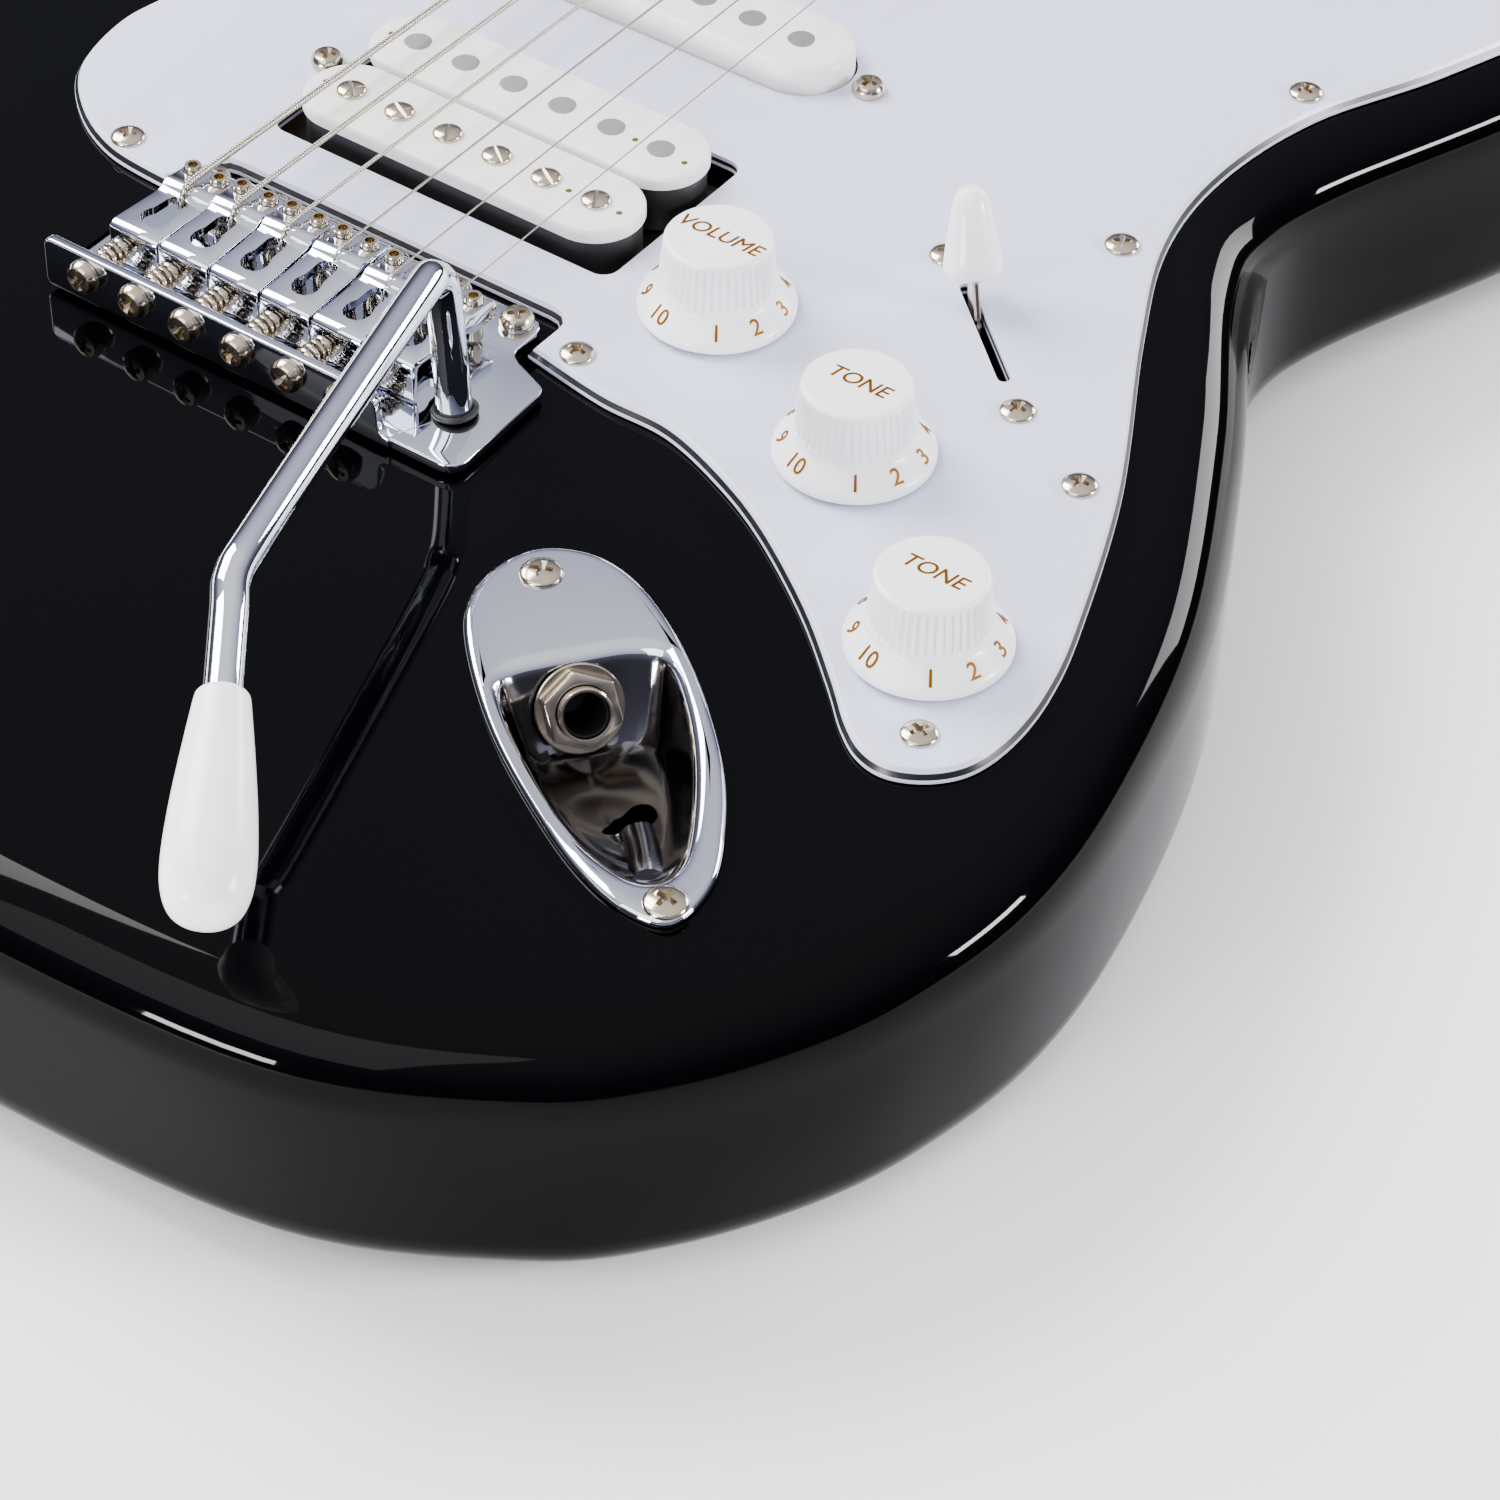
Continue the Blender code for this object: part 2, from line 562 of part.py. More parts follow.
def make_bridge(chrome, steel, root):
    pivot = add_empty("tremolo_pivot", (0, 0, PLATE_LOW), root)
    low_x, high_x, front, rear = -36, 35.5, 3.5, -34.4
    outline = [(low_x, rear), (44.3, rear), (46.3, -32), (45.1, -9.9), (high_x + 1.5, -6.5),
               (high_x, -4.5), (high_x, front - 3), (high_x - 1, front - 1), (high_x - 3, front),
               (low_x + 3, front), (low_x + 1, front - 1), (low_x, front - 3)]
    plate = add_part("bridge_plate", prism(outline, PLATE_LOW, PLATE_TOP), chrome, pivot)
    low_x, high_x, low_y, high_y, top = FLANGE
    rim = [(low_x, PLATE_LOW), (high_x, PLATE_LOW), (high_x, top - 3), (high_x - 0.9, top - 0.9),
           (high_x - 3, top), (low_x + 1, top), (low_x, top - 1)]
    fuse(plate, loft([[(x, y, z) for x, z in rim] for y in (low_y, high_y)]), "rear_flange")
    holes = [turned(((STRING_HOLE_R, -5), (STRING_HOLE_R, 8)), 8, (x, STRING_HOLE_Y, 0))
             for x in SADDLE_X]
    arm_x, arm_y, _ = ARM_BASE
    holes.append(turned(((ARM_R + 0.6, -5), (ARM_R + 0.6, 8)), 12, (arm_x, arm_y, 0)))
    cut(plate, join(*holes), "holes")

    low_x, high_x, low_y, high_y, low_z = BLOCK
    block = add_part("inertia_block", box(low_x, high_x, low_y, high_y, low_z, PLATE_LOW - GAP),
                     steel, pivot)
    holes = [turned(((STRING_HOLE_R, low_z - 2), (STRING_HOLE_R, 3)), 8, (x, STRING_HOLE_Y, 0))
             for x in SADDLE_X]
    cut(block, join(*holes), "string_holes")
    for i, x in enumerate(SADDLE_X):
        make_saddle(f"saddle_{i + 1}", x, chrome, pivot)
    return pivot


def contact_z(x):
    """The strings' underside over the saddles follows the fretboard's radius."""
    return CONTACT_Z - x * x / (2 * BOARD_RADIUS)


def make_saddle(name, x, mat, pivot):
    """Bent sheet with a string slot, standing on two height screws."""
    top = contact_z(x) - GAP
    half = 5.05
    side = [(-25.4, 3.2), (-23.9, 3.2), (-23.9, 8.6), (-22.6, 8.9), (-12.2, top - 2.2),
            (-10.0, top - 1.9), (-5.4, top - 4.4), (-4.4, top - 6.0), (-3.0, top - 5.6),
            (-4.2, top - 3.2), (-9.6, top - 0.1), (-11.8, top), (-22.8, 10.6), (-25.4, 10.2)]
    bm = loft([[(x + offset, y, z) for y, z in side] for offset in (-half, half)])
    saddle = add_part(name, bm, mat, pivot, (x, CONTACT_Y, top))
    slot = rounded_box(x, -15.3, 3.4, 9.6, 1.69, 2)
    cut(saddle, prism(slot, 0, 20), "string_slot")
    legs = [turned(((1.4, PLATE_TOP + GAP), (1.4, top - 0.4)), 6, (x + dx, -7.2, 0))
            for dx in (-2.8, 2.8)]
    fuse(saddle, join(*legs), "height_screws")


def make_arm(chrome, white, pivot):
    base = Vector(ARM_BASE)
    lean = Vector((-2.9, 0.6, 25.6)).normalized()
    arm = add_empty("arm_pivot", ARM_BASE, pivot)
    route = ((37.0, -23.0, 8), (35.3, -22.6, 24.5), (35.6, -25.2, 29.3), (37.6, -31, 31.0),
             (47, -61.5, 32.9), (56.6, -92.8, 34.2), (59.0, -100.4, 33.6), (62.1, -105, 31.7),
             (69.4, -115.4, 28.2), (74.6, -122.9, 25.2))
    path = [tuple(base - lean * 6)] + [tuple(base)] + list(spline(route, 2, closed=False))
    add_part("tremolo_arm", swept(path, ARM_R, 10), chrome, arm)
    start = Vector((69.4, -115.4, 28.2))
    out = (Vector((87.7, -142.0, 17.9)) - start).normalized()
    profile = ((3.2, 11), (3.2, 0.6), (3.5, 0), (4.0, 0.4), (4.9, 8), (6.0, 17), (6.6, 24), (6.6, 29),
               (6.0, 32.6), (4.4, 35.0), (1.6, 36.2))
    add_part("arm_tip", turned(profile, 14, start, out), white, arm)


def make_springs(steel, root):
    claw = rounded_box(0, 104, 70, 12, 1, 1)
    add_part("spring_claw", prism(claw, -41.5, -39.5), steel, root)
    for i, x in enumerate((-22, 0, 22)):
        spring = ((1.0, 0), (1.0, 9), (3.9, 13), (3.9, 86), (1.0, 90), (1.0, 97.5))
        base = (x, BLOCK[3] + GAP, -35.0)
        add_part(f"tremolo_spring_{i + 1}", turned(spring, 8, base, (0, 1, -0.026)), steel, root)


# ---------------------------------------------------------------- neck

def arch(x):
    """How far the fretboard's arched top drops at x from its centre line."""
    return x * x / (2 * BOARD_RADIUS)


def neck_section(y, half, back, squareness):
    """Half-round neck section: squareness is 1 for the heel's box and 0 for a C."""
    ring = [(half, y, BOARD_LOW)]
    steps = 10
    for step in range(steps + 1):
        angle = math.pi * step / steps
        x, z = math.cos(angle), math.sin(angle)
        reach = max(abs(x), abs(z))
        x, z = (v * (1 - squareness + squareness / reach) for v in (x, z))
        ring.append((x * half, y, BOARD_LOW - 2.5 - z * (BOARD_LOW - 2.5 - back)))
    ring.append((-half, y, BOARD_LOW))
    return ring


def make_neck(maple, dark, bone, root):
    heel_back = -POCKET_DEEP + GAP
    stations = ((HEEL_Y, heel_back, 1), (248, heel_back, 1), (262, heel_back + 0.6, 0.75),
                (280, -13.6, 0.2), (300, -13.0, 0.05), (400, -12.6, 0), (520, -11.9, 0),
                (615, -11.2, 0), (628, -11.6, 0))
    neck = loft([neck_section(y, neck_half(y), back, square) for y, back, square in stations])
    neck = add_part("neck", neck, maple, root)
    blend = [[(x, 622, z) for x, z in ((-20.8, BOARD_LOW), (-17, -8), (17, -8), (20.8, BOARD_LOW))],
             [(x, 641.5, z) for x, z in ((-21, BOARD_LOW), (-20, -14), (20, -14), (21, BOARD_LOW))],
             [(x, 652, z) for x, z in ((-21, 0.5), (-20, -15), (20, -15), (21, 0.5))],
             [(x, 662, z) for x, z in ((-21, -1.5), (-20, -15), (20, -15), (21, -1.5))]]
    fuse(neck, loft(blend), "throat")
    head = rolled(spline(HEAD_EDGE, 2), HEAD_BACK, HEAD_TOP, 1.5, 1.5, 1)
    fuse(neck, head, "headstock")
    holes = [turned(((POST_R + 0.5, -20), (POST_R + 0.5, 5)), 10, (*post_place(i), 0))
             for i in range(6)]
    cut(neck, join(*holes), "post_holes")

    rings = []
    for y in (HEEL_Y, NUT_Y - 5.0):
        half = neck_half(y)
        crown = [(x * half, y, BOARD_TOP - arch(x * half)) for x in (1, 0.6, 0.2, -0.2, -0.6, -1)]
        rings.append([(-half, y, BOARD_LOW + GAP), (half, y, BOARD_LOW + GAP)] + crown)
    board = add_part("fretboard", loft(rings), dark, root)
    frets = []
    for n in range(1, FRETS + 1):
        y = NUT_Y - SCALE * (1 - 2 ** (-n / 12))
        half = neck_half(y) - 0.4
        rings = []
        for share in (1, 0.35, -0.35, -1):
            x = share * half
            z = BOARD_TOP - arch(x)
            rings.append([(x, y - 1.3, z - 0.8), (x, y + 1.3, z - 0.8), (x, y + 0.6, z + 1.1),
                          (x, y - 0.6, z + 1.1)])
        frets.append(loft(rings))
    fuse(board, join(*frets), "frets")

    top = BOARD_TOP + 1.2
    saddle = [[(x, NUT_Y - 4.6, BOARD_LOW + GAP), (x, NUT_Y - 1.0, BOARD_LOW + GAP),
               (x, NUT_Y - 1.0, top - 1.5 - arch(x)), (x, NUT_Y - 2.4, top - arch(x)),
               (x, NUT_Y - 4.6, top - arch(x))] for x in (-20.8, -12, 0, 12, 20.8)]
    add_part("nut", loft(saddle), bone, root)


def post_place(i):
    x, y = POST_FIRST
    return (x + POST_STEP * i * math.sin(POST_SLANT), y + POST_STEP * i * math.cos(POST_SLANT))


def make_tuners(chrome, root):
    away = Vector((-math.cos(POST_SLANT), math.sin(POST_SLANT), 0))
    up_head = Vector((math.sin(POST_SLANT), math.cos(POST_SLANT), 0))
    z = HEAD_BACK - GAP
    strip = []
    middle = Vector((*post_place(2.5), 0))
    for a, b in ((-9, -73), (13.5, -73), (13.5, 73), (-9, 73)):
        point = middle + away * a + up_head * b
        strip.append((point.x, point.y))
    strip_obj = add_part("tuner_strip", prism(strip, z - 1.2, z), chrome, root)
    housings = []
    for i in range(6):
        centre = Vector((*post_place(i), 0))
        square = []
        for a, b in ((-7, -7.5), (11, -7.5), (11, 7.5), (-7, 7.5)):
            point = centre + away * a + up_head * b
            square.append((point.x, point.y))
        square = square if signed_area(square) > 0 else square[::-1]
        housings.append(loft([at_height(inset(square, 1.2), z - 10.4), at_height(square, z - 8.6),
                              at_height(square, z - 0.6)]))
    fuse(strip_obj, join(*housings), "housings")
    post = ((POST_R, z + GAP), (POST_R, 7), (2.5, 8.5), (2.5, 10.5), (POST_R, 12),
            (POST_R, POST_TOP - 0.5), (2.5, POST_TOP))
    for i in range(6):
        x, y = post_place(i)
        add_part(f"tuner_post_{i + 1}", turned(post, 12, (x, y, 0)), chrome, root, (x, y, 0))
        start = Vector((x, y, z - 6.0)) + away * (11 + GAP)
        add_part(f"tuner_button_{i + 1}", tuner_button(start, away), chrome, root, tuple(start))


def signed_area(outline):
    return sum(a[0] * b[1] - b[0] * a[1] for a, b in zip(outline, outline[1:] + outline[:1]))


def tuner_button(start, away):
    """A shaft that widens into a flattened oval grip."""
    rings = []
    for width, thick, out in ((2.2, 2.2, 0), (2.2, 2.2, 6.5), (3.2, 3.0, 7.5), (7.5, 4.0, 10),
                              (9.4, 4.3, 14), (9.4, 4.2, 19), (7.6, 3.6, 23), (3.5, 2.4, 25)):
        rings.append([(x * width, y * thick, out) for x, y in disc(1, 14)])
    bm = loft(rings)
    turn = Vector((0, 0, 1)).rotation_difference(away).to_matrix().to_4x4()
    bmesh.ops.transform(bm, matrix=Matrix.Translation(start) @ turn, verts=bm.verts)
    return bm


def make_string_tree(chrome, root):
    x, y = tree_place()
    low = HEAD_TOP + GAP
    stem = turned(((3.5, low), (3.5, low + 1), (1.6, low + 1), (1.6, low + 6.9)), 10, (x, y, 0))
    tree = add_part("string_tree", stem, chrome, root)
    fuse(tree, box(x - 7, x + 7, y - 2, y + 2, low + 6.4, low + 7.8), "wings")


def tree_place():
    return (11.5, 706.0)


# ---------------------------------------------------------------- strings

def make_strings(steel, root):
    for i, gauge in enumerate(GAUGES):
        radius = gauge / 2
        saddle_x = SADDLE_X[i]
        nut_x = -2.5 * NUT_PITCH + NUT_PITCH * i
        post_x, post_y = post_place(i)
        z_saddle = contact_z(saddle_x) + radius
        z_nut = BOARD_TOP + 1.2 - arch(nut_x) + GAP + radius
        lean = (nut_x - saddle_x) / (NUT_Y - CONTACT_Y)
        path = [(saddle_x, STRING_HOLE_Y - 0.6, -8), (saddle_x, STRING_HOLE_Y - 1.0, 4),
                (saddle_x, CONTACT_Y - 1.4, z_saddle - 1.6),
                (saddle_x, CONTACT_Y - 0.6, z_saddle - 0.4),
                (saddle_x + 0.6 * lean, CONTACT_Y + 0.6, z_saddle),
                (nut_x, NUT_Y - 4.8, z_nut), (nut_x, NUT_Y - 2.3, z_nut - 0.1)]
        if i > 3:
            tree_x, tree_y = tree_place()
            share = (tree_y - NUT_Y) / (post_y - NUT_Y)
            tree_side = tree_x + (5 if i == 5 else -5)
            path.append((tree_side if share < 1 else post_x, tree_y, HEAD_TOP + 5.4))
        path.append((post_x + POST_R + GAP + radius, post_y - 1.0, 9.0))
        path.append((post_x + POST_R + GAP + radius, post_y + 1.0, 9.0))
        add_part(f"string_{i + 1}", swept(path, radius, 6), steel, root)


# ---------------------------------------------------------------- all of it

def main():
    clear_scene()
    black_lacquer = finish("black_lacquer", "060607", 0.06)
    pickguard_plastic = finish("pickguard_plastic", "E6E6EE", 0.3)
    white_plastic = finish("white_plastic", "F0F0EE", 0.25)
    black_plastic = finish("black_plastic", "141414", 0.5)
    chrome = finish("chrome", "D8D8DC", 0.06, 1.0)
    nickel = finish("nickel", "B8B2A4", 0.2, 1.0)
    cast_steel = finish("cast_steel", "8A8A8C", 0.4, 1.0)
    string_steel = finish("string_steel", "B5B0A6", 0.3, 1.0)
    maple = finish("maple", "D9B27A", 0.3)
    rosewood = finish("rosewood", "3A231A", 0.5)
    bone = finish("bone", "E8E2D0", 0.4)

    root = add_empty("guitar_frame", (0, 0, 0))
    root.location = Vector(ROOT_PLACE) * MM
    make_body(black_lacquer, root)
    make_tremolo_cover(white_plastic, root)
    make_neck_plate(chrome, root)
    make_strap_buttons(chrome, root)
    make_pickguard(pickguard_plastic, root)
    make_humbucker(white_plastic, nickel, root)
    make_single_coils(white_plastic, root)
    make_controls(nickel, white_plastic, root)
    make_switch(black_plastic, nickel, white_plastic, root)
    make_jack(chrome, nickel, root)
    pivot = make_bridge(chrome, cast_steel, root)
    make_arm(chrome, white_plastic, pivot)
    make_springs(string_steel, root)
    make_neck(maple, rosewood, bone, root)
    make_tuners(chrome, root)
    make_string_tree(chrome, root)
    make_strings(string_steel, root)


main()
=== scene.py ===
"""The looks of a black electric guitar with a tremolo bridge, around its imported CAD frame.

Sizes are design millimetres: +X towards the thin strings, +Y towards the headstock, z = 0 on the
body's top, x = 0 on the neck's centre line. finished() turns them into the frame's metres.
"""

import math

import bmesh
import bpy
from mathutils import Matrix, Vector


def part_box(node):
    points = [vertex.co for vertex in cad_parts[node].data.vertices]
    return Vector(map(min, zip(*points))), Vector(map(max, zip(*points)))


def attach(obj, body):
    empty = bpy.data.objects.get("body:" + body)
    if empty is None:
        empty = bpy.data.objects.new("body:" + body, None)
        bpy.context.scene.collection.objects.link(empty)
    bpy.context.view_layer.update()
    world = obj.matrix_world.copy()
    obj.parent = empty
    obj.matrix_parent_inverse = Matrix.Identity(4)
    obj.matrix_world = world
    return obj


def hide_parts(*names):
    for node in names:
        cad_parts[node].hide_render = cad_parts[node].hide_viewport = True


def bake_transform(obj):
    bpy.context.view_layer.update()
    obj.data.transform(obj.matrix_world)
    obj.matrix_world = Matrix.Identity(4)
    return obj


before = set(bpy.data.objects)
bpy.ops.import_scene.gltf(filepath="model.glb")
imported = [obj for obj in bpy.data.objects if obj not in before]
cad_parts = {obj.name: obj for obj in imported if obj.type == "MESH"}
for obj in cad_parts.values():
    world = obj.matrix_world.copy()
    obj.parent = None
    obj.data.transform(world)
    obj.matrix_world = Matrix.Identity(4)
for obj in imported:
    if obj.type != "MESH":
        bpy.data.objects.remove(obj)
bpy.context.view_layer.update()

MM = 0.001
HEEL_Y, NUT_Y, SCALE = 175.0, 637.0, 648.0
BOARD_TOP, TWICE_BOARD_RADIUS = 9.5, 482
nut_low, nut_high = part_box("nut")
ORIGIN = Vector(((nut_low.x + nut_high.x) / 2,
                 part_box("fretboard")[0].y - HEEL_Y * MM,
                 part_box("body")[1].z))
TO_FRAME = Matrix.Translation(ORIGIN) @ Matrix.Scale(MM, 4)


def at(x, y, z):
    """A point in design millimetres, in the frame."""
    return TO_FRAME @ Vector((x, y, z))


# ---------------------------------------------------------------- camera, floor and light

CAMERA_PLACE = (413.54, -488.81, 487.88)
CAMERA_AZIMUTH, CAMERA_ELEVATION, CAMERA_ROLL = 34.355, 42.961, 1.59
CAMERA_LENS = 117.65


def make_camera():
    camera = bpy.data.objects.new("camera", bpy.data.cameras.new("camera"))
    bpy.context.collection.objects.link(camera)
    camera.data.lens = CAMERA_LENS
    camera.data.sensor_width = 36.0
    camera.location = at(*CAMERA_PLACE)
    turn = (Matrix.Rotation(math.radians(CAMERA_AZIMUTH), 4, "Z")
            @ Matrix.Rotation(math.radians(90 - CAMERA_ELEVATION), 4, "X")
            @ Matrix.Rotation(math.radians(CAMERA_ROLL), 4, "Z"))
    camera.rotation_euler = turn.to_euler()
    bpy.context.scene.camera = camera


def linear(code):
    """A Principled colour from an sRGB hex code."""
    srgb = [int(code[i:i + 2], 16) / 255 for i in (0, 2, 4)]
    return (*(c / 12.92 if c <= 0.04045 else ((c + 0.055) / 1.055) ** 2.4 for c in srgb), 1.0)


def add_node(tree, kind, inputs=None, **settings):
    """Adds a node, with its settings and the values or links of its inputs."""
    made = tree.nodes.new(kind)
    for key, value in settings.items():
        setattr(made, key, value)
    for key, value in (inputs or {}).items():
        if isinstance(value, bpy.types.NodeSocket):
            tree.links.new(value, made.inputs[key])
        else:
            made.inputs[key].default_value = value
    return made


def make_floor():
    bpy.ops.mesh.primitive_plane_add(size=12, location=(0, 0, -0.0002))
    floor = bpy.context.object
    floor.name = "floor"
    mat = bpy.data.materials.new("matt_white_paper")
    mat.use_nodes = True
    shader = mat.node_tree.nodes["Principled BSDF"]
    shader.inputs["Base Color"].default_value = linear("FCFCFC")
    shader.inputs["Roughness"].default_value = 0.9
    shader.inputs["Specular IOR Level"].default_value = 0.1
    floor.data.materials.append(mat)


def add_softbox(name, offset, width, height, watts, aim=(60, 0, 0)):
    target = at(*aim)
    light = bpy.data.lights.new(name, "AREA")
    light.shape = "RECTANGLE"
    light.size, light.size_y = width, height
    light.energy = watts
    obj = bpy.data.objects.new(name, light)
    bpy.context.collection.objects.link(obj)
    obj.location = target + Vector(offset)
    obj.rotation_euler = (-Vector(offset)).to_track_quat("-Z", "Y").to_euler()


def make_lights():
    add_softbox("left_softbox", (-1.2, 0.1, 1.1), 1.0, 1.0, 64)
    add_softbox("front_softbox", (-0.2, -1.3, 1.3), 1.6, 1.1, 20)
    add_softbox("far_softbox", (0.45, 1.6, 0.5), 0.7, 0.45, 22)
    add_softbox("right_strip", (1.46, 0.65, 0.46), 0.42, 0.12, 30)
    add_softbox("front_strip", (-0.2, -1.4, 0.2), 0.42, 0.12, 24)
    world = bpy.data.worlds.new("pale_studio")
    bpy.context.scene.world = world
    world.use_nodes = True
    tree = world.node_tree
    where = add_node(tree, "ShaderNodeTexCoord")
    height = add_node(tree, "ShaderNodeSeparateXYZ", {0: where.outputs["Generated"]})
    ramp = add_node(tree, "ShaderNodeValToRGB", {0: height.outputs["Z"]})
    ramp.color_ramp.elements[0].position = 0.08
    ramp.color_ramp.elements[0].color = linear("3A3A42")
    ramp.color_ramp.elements[1].position = 0.52
    ramp.color_ramp.elements[1].color = linear("B4B6CC")
    low_wall = ramp.color_ramp.elements.new(0.3)
    low_wall.color = linear("6E6E7A")
    zenith = ramp.color_ramp.elements.new(0.95)
    zenith.color = linear("FFFFFF")
    background = tree.nodes["Background"]
    tree.links.new(ramp.outputs[0], background.inputs["Color"])
    background.inputs["Strength"].default_value = 1.3


make_camera()
make_floor()
make_lights()


# ---------------------------------------------------------------- finishes

def surface(name, colour, roughness, metallic=0.0, **sockets):
    """A Principled material whose even values sit on the shader's own sockets."""
    mat = bpy.data.materials.new(name)
    mat.use_nodes = True
    shader = mat.node_tree.nodes["Principled BSDF"]
    shader.inputs["Base Color"].default_value = linear(colour)
    shader.inputs["Roughness"].default_value = roughness
    shader.inputs["Metallic"].default_value = metallic
    for socket, value in sockets.items():
        shader.inputs[socket.replace("_", " ")].default_value = value
    return mat


def grain(mat, pitch_mm, detail=3.0, stretch=(1, 1, 1)):
    """A noise pattern in Object coordinates whose features are about pitch_mm across."""
    tree = mat.node_tree
    where = add_node(tree, "ShaderNodeTexCoord")
    scale = [s / (pitch_mm * MM) for s in stretch]
    spread = add_node(tree, "ShaderNodeMapping", {"Vector": where.outputs["Object"],
                                                 "Scale": scale})
    return add_node(tree, "ShaderNodeTexNoise", {"Vector": spread.outputs[0], "Scale": 1.0,
                                                 "Detail": detail}).outputs["Fac"]


def vary_roughness(mat, fac, low, high):
    tree = mat.node_tree
    level = add_node(tree, "ShaderNodeMapRange", {"Value": fac, "To Min": low, "To Max": high})
    tree.links.new(level.outputs[0], tree.nodes["Principled BSDF"].inputs["Roughness"])


def vary_colour(mat, fac, low, high):
    tree = mat.node_tree
    mix = add_node(tree, "ShaderNodeMix", {"Factor": fac}, data_type="RGBA")
    mix.inputs["A"].default_value = linear(low)
    mix.inputs["B"].default_value = linear(high)
    tree.links.new(mix.outputs["Result"], tree.nodes["Principled BSDF"].inputs["Base Color"])


def bump(mat, fac, depth_mm):
    tree = mat.node_tree
    made = add_node(tree, "ShaderNodeBump", {"Height": fac, "Distance": depth_mm * MM})
    tree.links.new(made.outputs[0], tree.nodes["Principled BSDF"].inputs["Normal"])


def polyester_lacquer():
    """Thick black polyester, sanded and buffed: a deep mirror with a trace of orange peel."""
    mat = surface("black_polyester_lacquer", "020203", 0.03, IOR=1.16)
    bump(mat, grain(mat, 9.0, 1.0), 0.004)
    vary_roughness(mat, grain(mat, 30.0, 4.0), 0.02, 0.045)
    return mat


def laminated_pvc():
    """Three plies of PVC sheet, white over black over white: the cut edge shows all three."""
    mat = surface("laminated_pvc_sheet", "CFD1E6", 0.3, IOR=1.5)
    tree = mat.node_tree
    where = add_node(tree, "ShaderNodeTexCoord")
    height = add_node(tree, "ShaderNodeSeparateXYZ", {0: where.outputs["Object"]})
    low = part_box("pickguard")[0].z
    inside = add_node(tree, "ShaderNodeMath", {0: height.outputs["Z"], 1: low + 1.05 * MM,
                                               2: 0.4 * MM}, operation="COMPARE")
    vary_colour(mat, inside.outputs[0], "CFD1E6", "101014")
    vary_roughness(mat, grain(mat, 12.0, 3.0), 0.26, 0.36)
    bump(mat, grain(mat, 4.0, 2.0), 0.003)
    return mat


def moulded_plastic(name, low_colour, high_colour, low, high):
    """Injection-moulded plastic: glossy, with the mould's faint ripple and a little flow."""
    mat = surface(name, high_colour, low, IOR=1.53)
    bump(mat, grain(mat, 1.2, 3.0), 0.004)
    vary_roughness(mat, grain(mat, 6.0, 4.0), low, high)
    vary_colour(mat, grain(mat, 9.0, 2.0), low_colour, high_colour)
    return mat


def plated(name, colour, low, high, pitch_mm=14.0, depth_mm=0.006):
    """Metal, plated or polished, with faint haze where it has been handled."""
    mat = surface(name, colour, low, 1.0)
    vary_roughness(mat, grain(mat, pitch_mm, 5.0), low, high)
    bump(mat, grain(mat, pitch_mm, 2.0), depth_mm)
    return mat


def wound_string_steel():
    """Nickel wire wound on a steel core: turns 0.6 mm apart, twice the real pitch, to show; painted
    shade darkens the grooves between turns and a painted highlight lightens their crests.
    """
    mat = surface("nickel_wound_steel", "B9B1A2", 0.28, 1.0)
    tree = mat.node_tree
    where = add_node(tree, "ShaderNodeTexCoord")
    turns = add_node(tree, "ShaderNodeTexWave", {"Vector": where.outputs["Object"],
                                                 "Scale": 2 * math.pi / (20 * 0.6 * MM)},
                     bands_direction="Y")
    bump(mat, turns.outputs["Fac"], 0.08)
    # Painted shade in the grooves between turns, painted highlight on their crests.
    vary_colour(mat, turns.outputs["Fac"], "7E776B", "D2CABB")
    return mat


def wood(name, dark, light, pitch_mm, lean, low, high, depth_mm):
    """Wood sawn along the neck: fibres many times longer than they are wide."""
    mat = surface(name, light, low, IOR=1.5)
    fibres = grain(mat, pitch_mm, 6.0, (1, lean, 1))
    vary_colour(mat, fibres, dark, light)
    vary_roughness(mat, fibres, low, high)
    bump(mat, fibres, depth_mm)
    return mat


def black_rubber():
    """Moulded rubber ring: matt, with a fine skin."""
    mat = surface("moulded_black_rubber", "0C0C0D", 0.55)
    bump(mat, grain(mat, 0.4, 2.0), 0.01)
    vary_roughness(mat, grain(mat, 2.0, 2.0), 0.45, 0.65)
    return mat


LACQUER = polyester_lacquer()
PICKGUARD = laminated_pvc()
WHITE_ABS = moulded_plastic("moulded_white_abs", "F2F2F3", "FBFBFC", 0.2, 0.3)
BOBBIN_ABS = moulded_plastic("moulded_warm_white_abs", "E6E4E0", "F0EFEC", 0.28, 0.4)
BLACK_ABS = moulded_plastic("moulded_black_abs", "0C0C0E", "151517", 0.35, 0.5)
COIL_TAPE = moulded_plastic("black_coil_tape", "0A0A0B", "121213", 0.45, 0.6)
FRET_DOT = moulded_plastic("pearloid_dot", "D8D6CC", "F2F0E8", 0.2, 0.35)
BONE = moulded_plastic("polished_bone", "E2D9C2", "EDE6D3", 0.3, 0.4)
CHROME = plated("bright_chrome_plate", "D4D7E0", 0.02, 0.06, 11.0, 0.012)
# Darker chrome for the jack cup's floor: painted shade in the recess.
CUP_SHADE_CHROME = plated("chrome_painted_shade_in_cup", "74747A", 0.09, 0.17, 6.0, 0.02)
NICKEL = plated("warm_nickel_plate", "C4B8A4", 0.12, 0.22, 2.0)
SLUG_STEEL = plated("ground_steel_slug", "A5A29F", 0.4, 0.5, 1.0)
BRASS = plated("turned_brass", "A98A4E", 0.2, 0.35, 1.0)
ZINC = plated("dull_zinc_plate", "9A9A9C", 0.3, 0.45, 3.0, 0.02)
STRING_STEEL = plated("drawn_tinned_steel", "BDB7AC", 0.2, 0.3, 1.0)
WOUND_STEEL = wound_string_steel()
GOLD_FOIL = plated("hot_stamped_gold_foil", "7E4E12", 0.35, 0.5, 0.6)
MAPLE = wood("satin_lacquered_maple", "B07A3E", "DDB377", 2.4, 0.06, 0.3, 0.4, 0.006)
